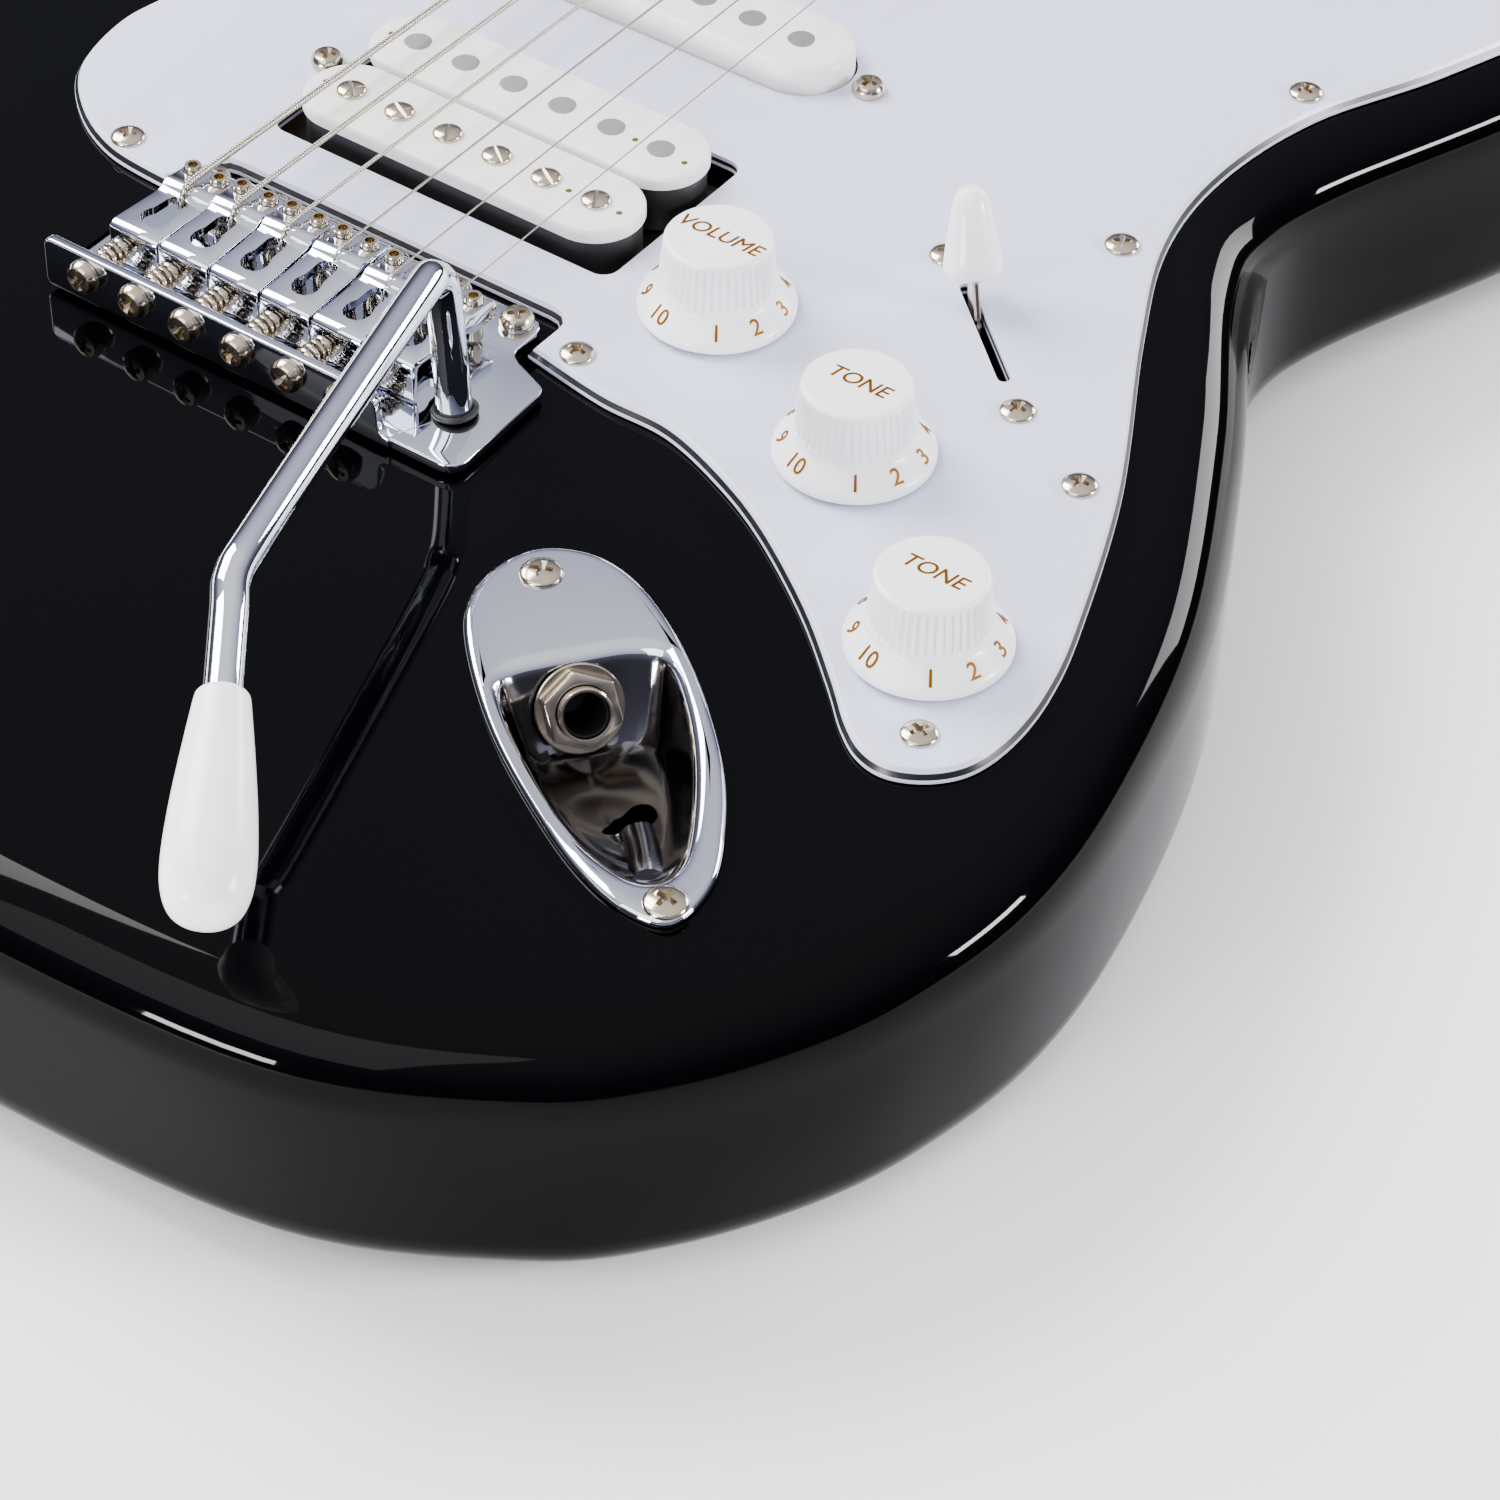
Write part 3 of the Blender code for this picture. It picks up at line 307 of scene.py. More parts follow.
ROSEWOOD = wood("oiled_rosewood", "1B0F0A", "54331F", 1.5, 0.05, 0.42, 0.6, 0.05)
RUBBER = black_rubber()


# ---------------------------------------------------------------- modelling by hand

def deselect():
    bpy.ops.object.select_all(action="DESELECT")


def choose(obj):
    deselect()
    obj.select_set(True)
    bpy.context.view_layer.objects.active = obj


def extruded(name, rings):
    """A filled circle moved onto the first ring, then extruded to each ring in turn."""
    deselect()
    bpy.ops.mesh.primitive_circle_add(vertices=len(rings[0]), fill_type="NGON")
    obj = bpy.context.object
    obj.name = name
    bpy.ops.object.mode_set(mode="EDIT")
    for step, ring in enumerate(rings):
        if step:
            bpy.ops.mesh.extrude_region_move()
        mesh = bmesh.from_edit_mesh(obj.data)
        cap = next(face for face in mesh.faces if face.select)
        for vert, point in zip(cap.verts, ring):
            vert.co = point
    bmesh.update_edit_mesh(obj.data)
    face_outwards()
    return obj


def face_outwards():
    """Recalculates the normals of the object in edit mode, and leaves that mode."""
    bpy.ops.mesh.select_all(action="SELECT")
    bpy.ops.mesh.normals_make_consistent(inside=False)
    bpy.ops.object.mode_set(mode="OBJECT")


def spun(name, profile, sides, closed=False):
    """A profile of (radius, height) spun round Z; closed when it is a loop."""
    deselect()
    bpy.ops.mesh.primitive_circle_add(vertices=len(profile), fill_type="NOTHING")
    obj = bpy.context.object
    obj.name = name
    for vert, (radius, height) in zip(obj.data.vertices, profile):
        vert.co = (radius, 0, height)
    bpy.ops.object.mode_set(mode="EDIT")
    if not closed:
        mesh = bmesh.from_edit_mesh(obj.data)
        mesh.verts.ensure_lookup_table()
        joined = {mesh.verts[0], mesh.verts[len(profile) - 1]}
        for edge in mesh.edges:
            edge.select = set(edge.verts) == joined
        bpy.ops.mesh.delete(type="EDGE")
    bpy.ops.mesh.select_all(action="SELECT")
    bpy.ops.mesh.spin(steps=sides, angle=2 * math.pi, center=(0, 0, 0), axis=(0, 0, 1))
    bpy.ops.mesh.select_all(action="SELECT")
    bpy.ops.mesh.remove_doubles(threshold=0.002)
    face_outwards()
    return obj


def swept(name, path, radius, sides=16, radii=None):
    """A round rod along a path of points."""
    data = bpy.data.curves.new(name, "CURVE")
    data.dimensions = "3D"
    data.bevel_depth = radius
    data.bevel_resolution = max(sides // 4 - 1, 1)
    data.use_fill_caps = True
    line = data.splines.new("POLY")
    line.points.add(len(path) - 1)
    for i, point in enumerate(path):
        line.points[i].co = (*point, 1)
        line.points[i].radius = radii[i] if radii else 1.0
    obj = bpy.data.objects.new(name, data)
    bpy.context.collection.objects.link(obj)
    choose(obj)
    bpy.ops.object.convert(target="MESH")
    bpy.ops.object.mode_set(mode="EDIT")
    bpy.ops.mesh.select_all(action="SELECT")
    bpy.ops.mesh.remove_doubles(threshold=0.0005)
    face_outwards()
    return obj


def slab(name, outline, low, high, width=0.0, segments=2):
    obj = extruded(name, [flat(outline, low), flat(outline, high)])
    return bevelled(obj, width, segments) if width else obj


def bevelled(obj, width, segments=2, angle=35):
    choose(obj)
    modifier = obj.modifiers.new("edges", "BEVEL")
    modifier.width, modifier.segments = width, segments
    modifier.limit_method = "ANGLE"
    modifier.angle_limit = math.radians(angle)
    bpy.ops.object.modifier_apply(modifier="edges")
    return obj


def carve(obj, *tools, operation="DIFFERENCE"):
    """Cuts each tool from the object, or joins it on, and removes the tool."""
    for tool in tools:
        choose(obj)
        modifier = obj.modifiers.new("carve", "BOOLEAN")
        modifier.operation, modifier.solver, modifier.object = operation, "EXACT", tool
        bpy.ops.object.modifier_apply(modifier="carve")
        bpy.data.objects.remove(tool)
    return obj


def moved(obj, matrix):
    obj.data.transform(matrix)
    return obj


def copied(obj, name, matrix=None):
    twin = obj.copy()
    twin.data = obj.data.copy()
    twin.name = name
    bpy.context.collection.objects.link(twin)
    return moved(twin, matrix) if matrix else twin


def joined(objs, name):
    deselect()
    for obj in objs:
        obj.select_set(True)
    bpy.context.view_layer.objects.active = objs[0]
    bpy.ops.object.join()
    objs[0].name = name
    return objs[0]


def finished(obj, mat, body="guitar", stands_for=(), angle=32, blended=None):
    """Places a piece in the frame, gives it its finish, and, unless it is blended, says what it
    moves with.
    """
    moved(obj, TO_FRAME)
    choose(obj)
    bpy.ops.object.shade_smooth_by_angle(angle=math.radians(angle))
    if mat:
        obj.data.materials.clear()
        obj.data.materials.append(mat)
    if blended:
        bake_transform(obj)
    else:
        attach(obj, body)
    if stands_for:
        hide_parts(*stands_for)
    return obj


def flat(outline, z):
    return [(x, y, z) for x, y in outline]


def spline(points, steps, closed=True):
    """Points on a Catmull-Rom curve through the given ones."""
    count = len(points)
    found = []
    for i in range(count if closed else count - 1):
        if closed:
            a, b, c, d = (points[(i + k) % count] for k in (-1, 0, 1, 2))
        else:
            a, b, c, d = (points[min(max(i + k, 0), count - 1)] for k in (-1, 0, 1, 2))
        for step in range(steps):
            t = step / steps
            found.append(tuple(
                0.5 * (2 * q + (r - p) * t + (2 * p - 5 * q + 4 * r - s) * t * t
                       + (3 * q - p - 3 * r + s) * t ** 3)
                for p, q, r, s in zip(a, b, c, d)
            ))
    if not closed:
        found.append(tuple(points[-1]))
    return found


def inset(outline, distance):
    """The outline moved inwards, for an outline that runs counter-clockwise."""
    shifted = []
    for i, here in enumerate(outline):
        before, after = outline[i - 1], outline[(i + 1) % len(outline)]
        one = Vector((here[0] - before[0], here[1] - before[1])).normalized()
        two = Vector((after[0] - here[0], after[1] - here[1])).normalized()
        along = (one + two).normalized()
        stretch = min(1 / max(along.dot(one), 0.4), 1.6)
        shifted.append((here[0] - along.y * distance * stretch,
                        here[1] + along.x * distance * stretch))
    return shifted


def rounded_box(cx, cy, width, height, radius, steps=6):
    """A rounded rectangle's outline, counter-clockwise; a stadium when the radius is half."""
    found = []
    for quarter, (sx, sy) in enumerate(((1, 1), (-1, 1), (-1, -1), (1, -1))):
        mx, my = cx + sx * (width / 2 - radius), cy + sy * (height / 2 - radius)
        for step in range(steps + 1):
            angle = math.pi / 2 * (quarter + step / steps)
            found.append((mx + radius * math.cos(angle), my + radius * math.sin(angle)))
    return found


def disc(radius, sides, turn=0.0):
    return [(radius * math.cos(2 * math.pi * i / sides + turn),
             radius * math.sin(2 * math.pi * i / sides + turn)) for i in range(sides)]


def turn_flat(outline, centre, along):
    ax, ay = along
    return [(centre[0] + x * ax - y * ay, centre[1] + x * ay + y * ax) for x, y in outline]


def facing(place, axis=(0, 0, 1), turn=0.0):
    """The matrix that stands a Z-up shape at a place along an axis, turned about it."""
    lean = Vector((0, 0, 1)).rotation_difference(Vector(axis)).to_matrix().to_4x4()
    return Matrix.Translation(place) @ lean @ Matrix.Rotation(turn, 4, "Z")


def cutter(outline, low, high):
    """A straight-sided cutter from a flat outline."""
    return extruded("cutter", [flat(outline, low), flat(outline, high)])


def drum(radius, low, high, place=(0, 0, 0), axis=(0, 0, 1), sides=24):
    """A plain round cutter."""
    return moved(cutter(disc(radius, sides), low, high), facing(place, axis))


def block(low_x, high_x, low_y, high_y, low_z, high_z):
    """A plain square cutter."""
    outline = [(low_x, low_y), (high_x, low_y), (high_x, high_y), (low_x, high_y)]
    return cutter(outline, low_z, high_z)


# ---------------------------------------------------------------- screws

def cross_recess(obj, half, wing, depth, top):
    """Cuts a Phillips recess: two crossed wings that taper to the bottom."""
    for turn in (0, math.pi / 2):
        rings = []
        for share, z in ((0.35, top - depth), (0.9, top - 0.15), (1.3, top + 1)):
            outline = [(-half * share, -wing * share), (half * share, -wing * share),
                       (half * share, wing * share), (-half * share, wing * share)]
            rings.append(flat(outline, z))
        tool = extruded("cutter", rings)
        carve(obj, moved(tool, Matrix.Rotation(turn + 0.0007, 4, "Z")))
    return obj


def oval_screw(radius, rise):
    """A countersunk oval head, seated at z = 0, with a cross recess."""
    steps = 7
    dome = [(radius * math.cos(math.pi / 2 * i / steps),
             0.25 + rise * math.sin(math.pi / 2 * i / steps)) for i in range(steps)]
    profile = [(0, -1.2), (radius * 0.55, -1.2), (radius - 0.1, 0.0), (radius, 0.12)] + dome
    head = spun("oval_screw", profile + [(0, 0.25 + rise)], 28)
    return cross_recess(head, radius * 0.6, radius * 0.16, radius * 0.5, 0.25 + rise)


def pan_screw(radius, height):
    """A raised pan head, seated at z = 0, with a cross recess."""
    profile = [(0, -0.4), (radius * 0.6, -0.4), (radius * 0.6, 0), (radius, 0.05),
               (radius * 1.02, height * 0.3), (radius * 0.97, height * 0.6),
               (radius * 0.78, height * 0.88), (radius * 0.4, height), (0, height * 1.02)]
    head = spun("pan_screw", profile, 28)
    return cross_recess(head, radius * 0.62, radius * 0.17, radius * 0.6, height)


def set_screws(pattern, name, places, z, axis=(0, 0, 1)):
    """A copy of a screw at each place, each turned differently, on the guitar's body."""
    for i, (x, y) in enumerate(places):
        screw = copied(pattern, f"{name}_{i + 1}", facing((x, y, z), axis, 0.4 + 1.1 * i))
        finished(screw, NICKEL)


OVAL = oval_screw(2.95, 0.95)
WIDE_OVAL = oval_screw(3.4, 1.0)
PAN = pan_screw(2.85, 2.3)


# ---------------------------------------------------------------- body

BODY_THICK, TOP_ROLL, BACK_ROLL, FOREARM_LEAN = 45.0, 12.0, 9.0, 14
BODY_EDGE = (
    (0, -148.5), (48, -149.2), (97, -143.8), (129.5, -127.6), (145.3, -112.5), (157.3, -93.4),
    (164, -75.2), (167.6, -51.5), (164.9, -24.1), (154.6, 14.5), (136.5, 53.7), (118.5, 86),
    (112.7, 104), (115.6, 124.6), (129.8, 162.1), (138, 190), (141, 220), (137, 246), (124, 260),
    (107, 258), (91, 244), (78, 229), (62, 220), (47, 222), (36, 232), (24, 244), (5, 250),
    (-20, 252), (-42, 258), (-60, 270), (-76, 288), (-91, 303), (-111, 308), (-131, 296),
    (-143, 271), (-142, 240), (-130, 205), (-115, 174), (-107.5, 142), (-111, 112), (-124, 80),
    (-141, 46), (-153, 15), (-156.5, -18), (-151, -54), (-134, -90), (-107, -118), (-71, -136),
    (-36, -144.5),
)
CONTROL_CAVITY = (
    (44, 15), (72, 2), (104, -20), (126, -38), (140, -32), (139, -12), (124, 24), (104, 62),
    (84, 74), (44, 60),
)
JACK_AT, JACK_ALONG, JACK_ACROSS = (70.9, -44.7), (0.778, -0.629), (0.629, 0.778)
CUP_RIM_UW = (
    (19.3, 0.6), (19.5, 9), (22.4, 13.4), (31, 13.8), (42, 12.3), (53, 9.4), (62, 6.0), (66.5, 2.6),
    (67.6, -0.6), (65, -4.2), (57, -8.4), (47, -10.8), (34, -12.3), (24, -12.2), (20.1, -9.8),
    (19.3, -4),
)
ARM_BASE = Vector((37.6, -23.1, 2.6))


def jack_point(u, w):
    return (JACK_AT[0] + u * JACK_ALONG[0] + w * JACK_ACROSS[0],
            JACK_AT[1] + u * JACK_ALONG[1] + w * JACK_ACROSS[1])


def make_body():
    outline = spline(BODY_EDGE, 7)
    rings = []
    for step in range(8):
        angle = math.pi / 2 * step / 7
        rings.append(flat(inset(outline, BACK_ROLL * (1 - math.sin(angle))),
                          -BODY_THICK + BACK_ROLL * (1 - math.cos(angle))))
    for step in range(11):
        angle = math.pi / 2 * step / 10
        rings.append(flat(inset(outline, TOP_ROLL * (1 - math.cos(angle))),
                          -TOP_ROLL * (1 - math.sin(angle))))
    body = extruded("fine_body", rings)
    deselect()
    bpy.ops.mesh.primitive_ico_sphere_add(subdivisions=7, radius=160)
    belly = moved(bpy.context.object, Matrix.Translation((-140, 118, -187)))
    carve(
        body, belly,
        block(-39, 39, -26, 2, -30, 5),
        cutter(rounded_box(0, 45, 78, 142, 6), -50, -28),
        block(-45, 46.5, 16, 166, -18, 5),
        cutter(spline(CONTROL_CAVITY, 3), -38, 5),
        cutter([jack_point(u, w) for u, w in inset(spline(CUP_RIM_UW, 2)[::-1], -2.2)], -30, 5),
        cutter([jack_point(u, w) for u, w in rounded_box(13, 0.6, 20, 19, 4, 3)], -30, 5),
        drum(6, -12, 5, (ARM_BASE.x, ARM_BASE.y, 0)),
        block(-28.3, 28.3, 174.7, 300, -16, 5),
        forearm_cutter(),
    )
    finished(body, LACQUER, stands_for=["body"], angle=25)


def forearm_cutter():
    """A bevel for the forearm: flat at 14 degrees, easing into the top through a curve."""
    ease, reach = 30.0, 60.0
    section = []
    for step in range(25):
        angle = math.radians(FOREARM_LEAN) * step / 24
        run = ease * 2 * math.sin(angle) / math.sin(math.radians(FOREARM_LEAN))
        section.append((-run, -ease * 2 * (1 - math.cos(angle))
                        / math.sin(math.radians(FOREARM_LEAN))))
    last_x, last_z = section[-1]
    section.append((last_x - reach,
                    last_z - reach * math.tan(math.radians(FOREARM_LEAN))))
    section += [(last_x - reach, 60), (0, 60)]
    rings = [[(x + 25, y, z + 0.02) for x, z in section] for y in (-240, 200)]
    tool = extruded("cutter", rings)
    return moved(tool, Matrix.Translation((-97, -40, 0)) @ Matrix.Rotation(
        math.radians(FOREARM_LEAN), 4, "Z"))


# ---------------------------------------------------------------- pickguard and pickups

GUARD_EDGE = (
    (36.5, -3.0), (52.9, -5.8), (66, -6.2), (79.3, -10.8), (91.7, -17.3), (106.9, -28),
    (119, -38.5), (126.6, -45.7), (132.2, -49.3), (137.8, -49.8), (143.6, -46.6), (147.4, -41),
    (148.6, -32), (147.3, -20.7), (143, -5.9), (131.2, 24.4), (113.5, 58.9), (103.5, 82),
    (100.6, 104), (104.4, 128), (115.4, 153), (125.5, 184), (128, 214), (123, 236), (112, 243),
    (99, 236), (85, 222), (66, 208), (48, 205), (29, 205),
)
GUARD_EDGE_BASS = (
    (-29, 236), (-44, 243), (-60, 240), (-72, 226), (-83, 205), (-91, 180), (-90, 150),
    (-82, 118), (-75, 85), (-71.5, 60), (-73.5, 39.7), (-75.2, 27), (-72, 13), (-63.3, 3.6),
    (-52, -2), (-38.8, -3.4),
)
GUARD_LOW, GUARD_TOP = 0.3, 2.5
GUARD_SCREWS = (
    (-51, 1.7), (43.9, 0.2), (100.2, 131.8), (98, 76.6), (125.6, 20.6), (137.3, -41.1),
    (-79, 85), (-80, 205), (-40, 212), (40, 198), (111, 228),
)
PICKUP_X, BOBBIN_ROWS = 0.8, (28.7, 46.7)
COIL_Y = {"middle_pickup": 87.2, "neck_pickup": 151.0}
POLE_STEP = 10.21
POLES = [PICKUP_X + POLE_STEP * (i - 2.5) for i in range(6)]
KNOBS = {"volume": (54.8, 23.1), "middle_tone": (93.5, 5.8), "neck_tone": (127.6, -24.3)}
SWITCH_AT, SWITCH_ALONG = (92.6, 44.0), (0.745, -0.667)


def make_pickguard():
    treble = spline(GUARD_EDGE, 8, closed=False)
    bass = spline(GUARD_EDGE_BASS, 8, closed=False)
    neck_side = [(28.6, HEEL_Y - 0.8), (-28.6, HEEL_Y - 0.8)]
    notch = [(-34.5, 4), (-34.2, 5.7), (-33.2, 6.7), (-31.5, 7), (33.5, 7), (35.2, 6.7),
             (36.2, 5.7), (36.5, 4)]
    outline = treble + neck_side + bass + notch
    rings = [flat(outline, GUARD_LOW), flat(outline, 0.85), flat(inset(outline, 0.08), 1.0),
             flat(inset(outline, 1.05), 2.42), flat(inset(outline, 1.2), GUARD_TOP)]
    guard = extruded("fine_pickguard", rings)
    low, high = GUARD_LOW - 3, GUARD_TOP + 3
    tools = [cutter(rounded_box(PICKUP_X, 37.9, 70.6, 38.4, 3), low, high)]
    for y in COIL_Y.values():
        tools.append(cutter(rounded_box(PICKUP_X, y, 70.9, 19.1, 9.5, 10), low, high))
    for x, y in KNOBS.values():
        tools.append(drum(5, low, high, (x, y, 0)))
    slot = turn_flat(rounded_box(0, 0, 26, 2.2, 1.09, 4), SWITCH_AT, SWITCH_ALONG)
    tools.append(cutter(slot, low, high))
    carve(guard, *tools)
    finished(guard, PICKGUARD, stands_for=["pickguard"], angle=20)
    set_screws(OVAL, "pickguard_screw", GUARD_SCREWS, GUARD_TOP)
    set_screws(OVAL, "switch_screw", ((76.6, 57.0), (107.9, 30.1)), GUARD_TOP)


def pole_screw():
    """A domed fillister head with a straight slot."""
    dome = [(2.55 * math.cos(math.pi / 2 * i / 6), 0.35 + 0.75 * math.sin(math.pi / 2 * i / 6))
            for i in range(6)]
    head = spun("pole_screw", [(0, -1.2), (1.5, -1.2), (1.5, 0), (2.55, 0.02)] + dome
                + [(0, 1.1)], 28)
    return carve(head, moved(block(-3, 3, -0.33, 0.33, 0.45, 3),
                             Matrix.Rotation(0.011, 4, "Z")))


def make_humbucker():
    names = ("screw_coil_bobbin", "slug_coil_bobbin")
    for name, y in zip(names, BOBBIN_ROWS):
        edge = rounded_box(PICKUP_X, y, 67.5, 16.8, 8.3, 12)
        rings = [flat(edge, 5.5), flat(edge, 7.1), flat(inset(edge, 0.15), 7.5),
                 flat(inset(edge, 0.45), 7.8), flat(inset(edge, 0.9), 7.9)]
        flange = extruded(f"{name}_top", rings)
        finished(flange, BOBBIN_ABS, stands_for=[name])
        wrap = rounded_box(PICKUP_X, y, 66.4, 15.7, 7.8, 12)
        coil = bevelled(extruded(f"{name}_taped_coil", [flat(wrap, -3.2), flat(wrap, 5.4)]), 0.3)
        finished(coil, COIL_TAPE)
    pattern = pole_screw()
    slug = spun("slug", [(0, -1), (2.45, -1), (2.45, 0.0), (2.35, 0.08), (0, 0.1)], 28)
    for i, x in enumerate(POLES):
        screw = copied(pattern, f"pole_screw_{i + 1}",
                       facing((x, BOBBIN_ROWS[0], 7.9), turn=-0.75 + 0.35 * math.sin(2.2 * i)))
        finished(screw, NICKEL)
        finished(copied(slug, f"pole_slug_{i + 1}", facing((x, BOBBIN_ROWS[1], 7.9))),
                 SLUG_STEEL)
    hole = spun("hole", [(0, -0.5), (0.55, -0.5), (0.55, 0.02), (0, 0.03)], 16)
    places = ((31.7, 45.9), (21.4, 46.2), (31.3, 28.4), (21.1, 28.3), (-19.4, 45.9),
              (-29.8, 45.9), (-19.6, 28.4), (-29.9, 28.4))
    for i, (x, y) in enumerate(places):
        finished(copied(hole, f"bobbin_pin_{i + 1}", facing((x, y, 7.9))), BRASS)
    bpy.data.objects.remove(hole)
    set_screws(PAN, "humbucker_screw", ((-37.9, 38.3), (39.5, 38.3)), GUARD_TOP)
    return pattern, slug


def make_single_coils(slug):
    for name, y in COIL_Y.items():
        edge = rounded_box(PICKUP_X, y, 70, 18.2, 9.05, 14)
        rings = [flat(rounded_box(PICKUP_X, y, 85, 17, 4, 14), z) for z in (-11, -9)]
        rings += [flat(edge, -8.9), flat(edge, 5.4)]
        for step in range(1, 8):
            angle = math.pi / 2 * step / 7
            rings.append(flat(inset(edge, 2.0 * (1 - math.cos(angle))),
                              5.4 + 2.0 * math.sin(angle)))
        cover = extruded(f"{name}_cover", rings)
        finished(cover, BOBBIN_ABS, stands_for=[name])
        for i, x in enumerate(POLES):
            finished(copied(slug, f"{name}_pole_{i + 1}", facing((x, y, 7.4))), SLUG_STEEL)
        set_screws(PAN, f"{name}_screw", ((PICKUP_X - 39.6, y), (PICKUP_X + 39.6, y)), GUARD_TOP)


# ---------------------------------------------------------------- knobs and switch

KNOB_TOP, FLUTES = 17.1, 46
SKIRT_OUT, SKIRT_IN = (12.5, 5.0), (10.25, 7.35)
FIRST_NUMBER = math.atan2(-0.82, 0.57)


def knob_ring(radius, z, depth=0.0):
    """A ring whose radius waves in and out once for each flute."""
    points = []
    per_flute = 6
    for i in range(FLUTES * per_flute):
        angle = 2 * math.pi * i / (FLUTES * per_flute)
        wave = depth * (0.5 - 0.5 * math.cos(2 * math.pi * i / per_flute)) ** 0.7
        points.append(((radius - wave) * math.cos(angle), (radius - wave) * math.sin(angle), z))
    return points


def make_knob_pattern():
    levels = (
        (3.2, 13.6), (3.2, 6.2), (7.4, 5.8), (11.4, 3.25), (12.6, 3.2), (12.9, 3.35),
        (12.97, 3.6), (12.97, 4.2), (12.85, 4.6), (12.5, 5.0), (11.9, 5.65), (11.1, 6.45),
        (10.25, 7.35), (9.9, 7.75), (9.72, 8.1), (9.66, 8.4),
        (9.62, 8.8, 0.05), (9.55, 9.2, 0.45), (8.95, 15.4, 0.45), (8.9, 15.9, 0.3),
        (8.84, 16.3, 0.05), (8.75, 16.6), (8.55, 16.9), (8.2, 17.07), (7.6, 17.1),
    )
    return extruded("knob", [knob_ring(*level) for level in levels])


def lettering(name, text, height, slant=0.0):
    """A raised word as a mesh, centred on its origin, its letters this high."""
    deselect()
    bpy.ops.object.text_add()
    obj = bpy.context.object
    obj.data.body = text
    obj.data.align_x, obj.data.align_y = "CENTER", "CENTER"
    obj.data.size = height / 0.72
    obj.data.shear = slant
    obj.data.extrude = 0.02
    obj.data.bevel_depth = 0.014 * height
    obj.data.bevel_resolution = 0
    obj.data.resolution_u = 6
    bpy.ops.object.convert(target="MESH")
    obj.name = name
    return obj


def on_skirt(obj, angle):
    """Wraps flat lettering onto the knob's sloping skirt, its foot outwards."""
    (r_out, z_out), (r_in, z_in) = SKIRT_OUT, SKIRT_IN
    middle_r, middle_z = (r_out + r_in) / 2, (z_out + z_in) / 2
    slope = Vector((r_in - r_out, z_in - z_out)).normalized()
    for vert in obj.data.vertices:
        x, y, z = vert.co
        radius = middle_r + slope.x * y + slope.y * (z + 0.05)
        height = middle_z + slope.y * y - slope.x * (z + 0.05)
        turn = angle + x / middle_r
        vert.co = (radius * math.cos(turn), radius * math.sin(turn), height)
    return obj


def make_knobs():
    knob = make_knob_pattern()
    numbers = []
    for n in range(1, 11):
        number = lettering("number", str(n), 2.8)
        numbers.append(on_skirt(number, FIRST_NUMBER + math.radians(34) * (n - 1)))
    numbers = joined(numbers, "numbers")
    for name, (x, y) in KNOBS.items():
        place = Matrix.Translation((x, y, 0))
        body = f"{name}_knob"
        finished(copied(knob, f"{name}_fluted_knob", place), WHITE_ABS, body,
                 [body])
        word = lettering("word", "VOLUME" if name == "volume" else "TONE", 2.9, 0.18)
        moved(word, Matrix.Translation((0, 0.3, KNOB_TOP + 0.01)))
        gold = joined([word, copied(numbers, "dial")], f"{name}_gold_lettering")
        finished(moved(gold, place), GOLD_FOIL, body)
    bpy.data.objects.remove(knob)
    bpy.data.objects.remove(numbers)


def make_switch_tip():
    profile = [(0, 27.6), (3.2, 27.35), (4.1, 27.25), (4.55, 27.6), (4.78, 28.3), (4.8, 29.2),
               (4.62, 30.6), (4.3, 32.5), (3.95, 34.4), (3.6, 36.3), (3.25, 38.1), (2.95, 39.4),
               (2.55, 40.5), (2.0, 41.4), (1.3, 41.9), (0.6, 42.1), (0, 42.15)]
    tip = spun("switch_lever_tip", profile, 40)
    lean = Matrix.Rotation(math.radians(17.8), 4, (-SWITCH_ALONG[1], SWITCH_ALONG[0], 0))
    moved(tip, Matrix.Translation((*SWITCH_AT, -18)) @ lean.inverted())
    finished(tip, WHITE_ABS, "switch_lever", ["switch_tip"], angle=60)


# ---------------------------------------------------------------- jack

PLATE_EDGE_UW = (
    (-6.5, 0.5), (-3.5, 8.5), (4, 13.6), (16, 16.3), (31, 17), (47, 15.7), (60, 12.4), (70.5, 7.6),
    (76.5, 0), (72, -6), (62, -10.5), (47, -13.6), (31, -15.4), (15, -15), (4, -12.8), (-3, -7.6),
)
CUP_FLOOR_UW = (
    (25.4, 0.4), (25.5, 6.2), (27.4, 9.2), (33, 9.6), (41, 8.2), (49, 6.0), (55, 3.8), (58.4, 1.6),
    (59.2, -0.6), (57, -2.8), (51, -5.2), (44, -6.8), (35, -7.8), (28.2, -7.6), (25.8, -5.4),
    (25.4, -2.4),
)
BACK_WALL_U, TROUGH_DEPTH = 20.0, 1.6
JACK_FACE, JACK_TILT = (22.4, 0.1, -5.8), math.radians(27.5)
JACK_OUT = Vector((JACK_ALONG[0] * math.cos(JACK_TILT), JACK_ALONG[1] * math.cos(JACK_TILT),
                   math.sin(JACK_TILT)))


def cup_floor_z(u):
    """The floor sweeps up towards the cup's narrow end."""
    run = u - 25.4
    return -11.5 + 0.11 * run + 0.0037 * run * run


def jack_ring(outline, lift):
    return [(*jack_point(u, w), lift(u) if callable(lift) else lift) for u, w in outline]


def between(one, other, share):
    return [tuple(a + (b - a) * share for a, b in zip(p, q)) for p, q in zip(one, other)]


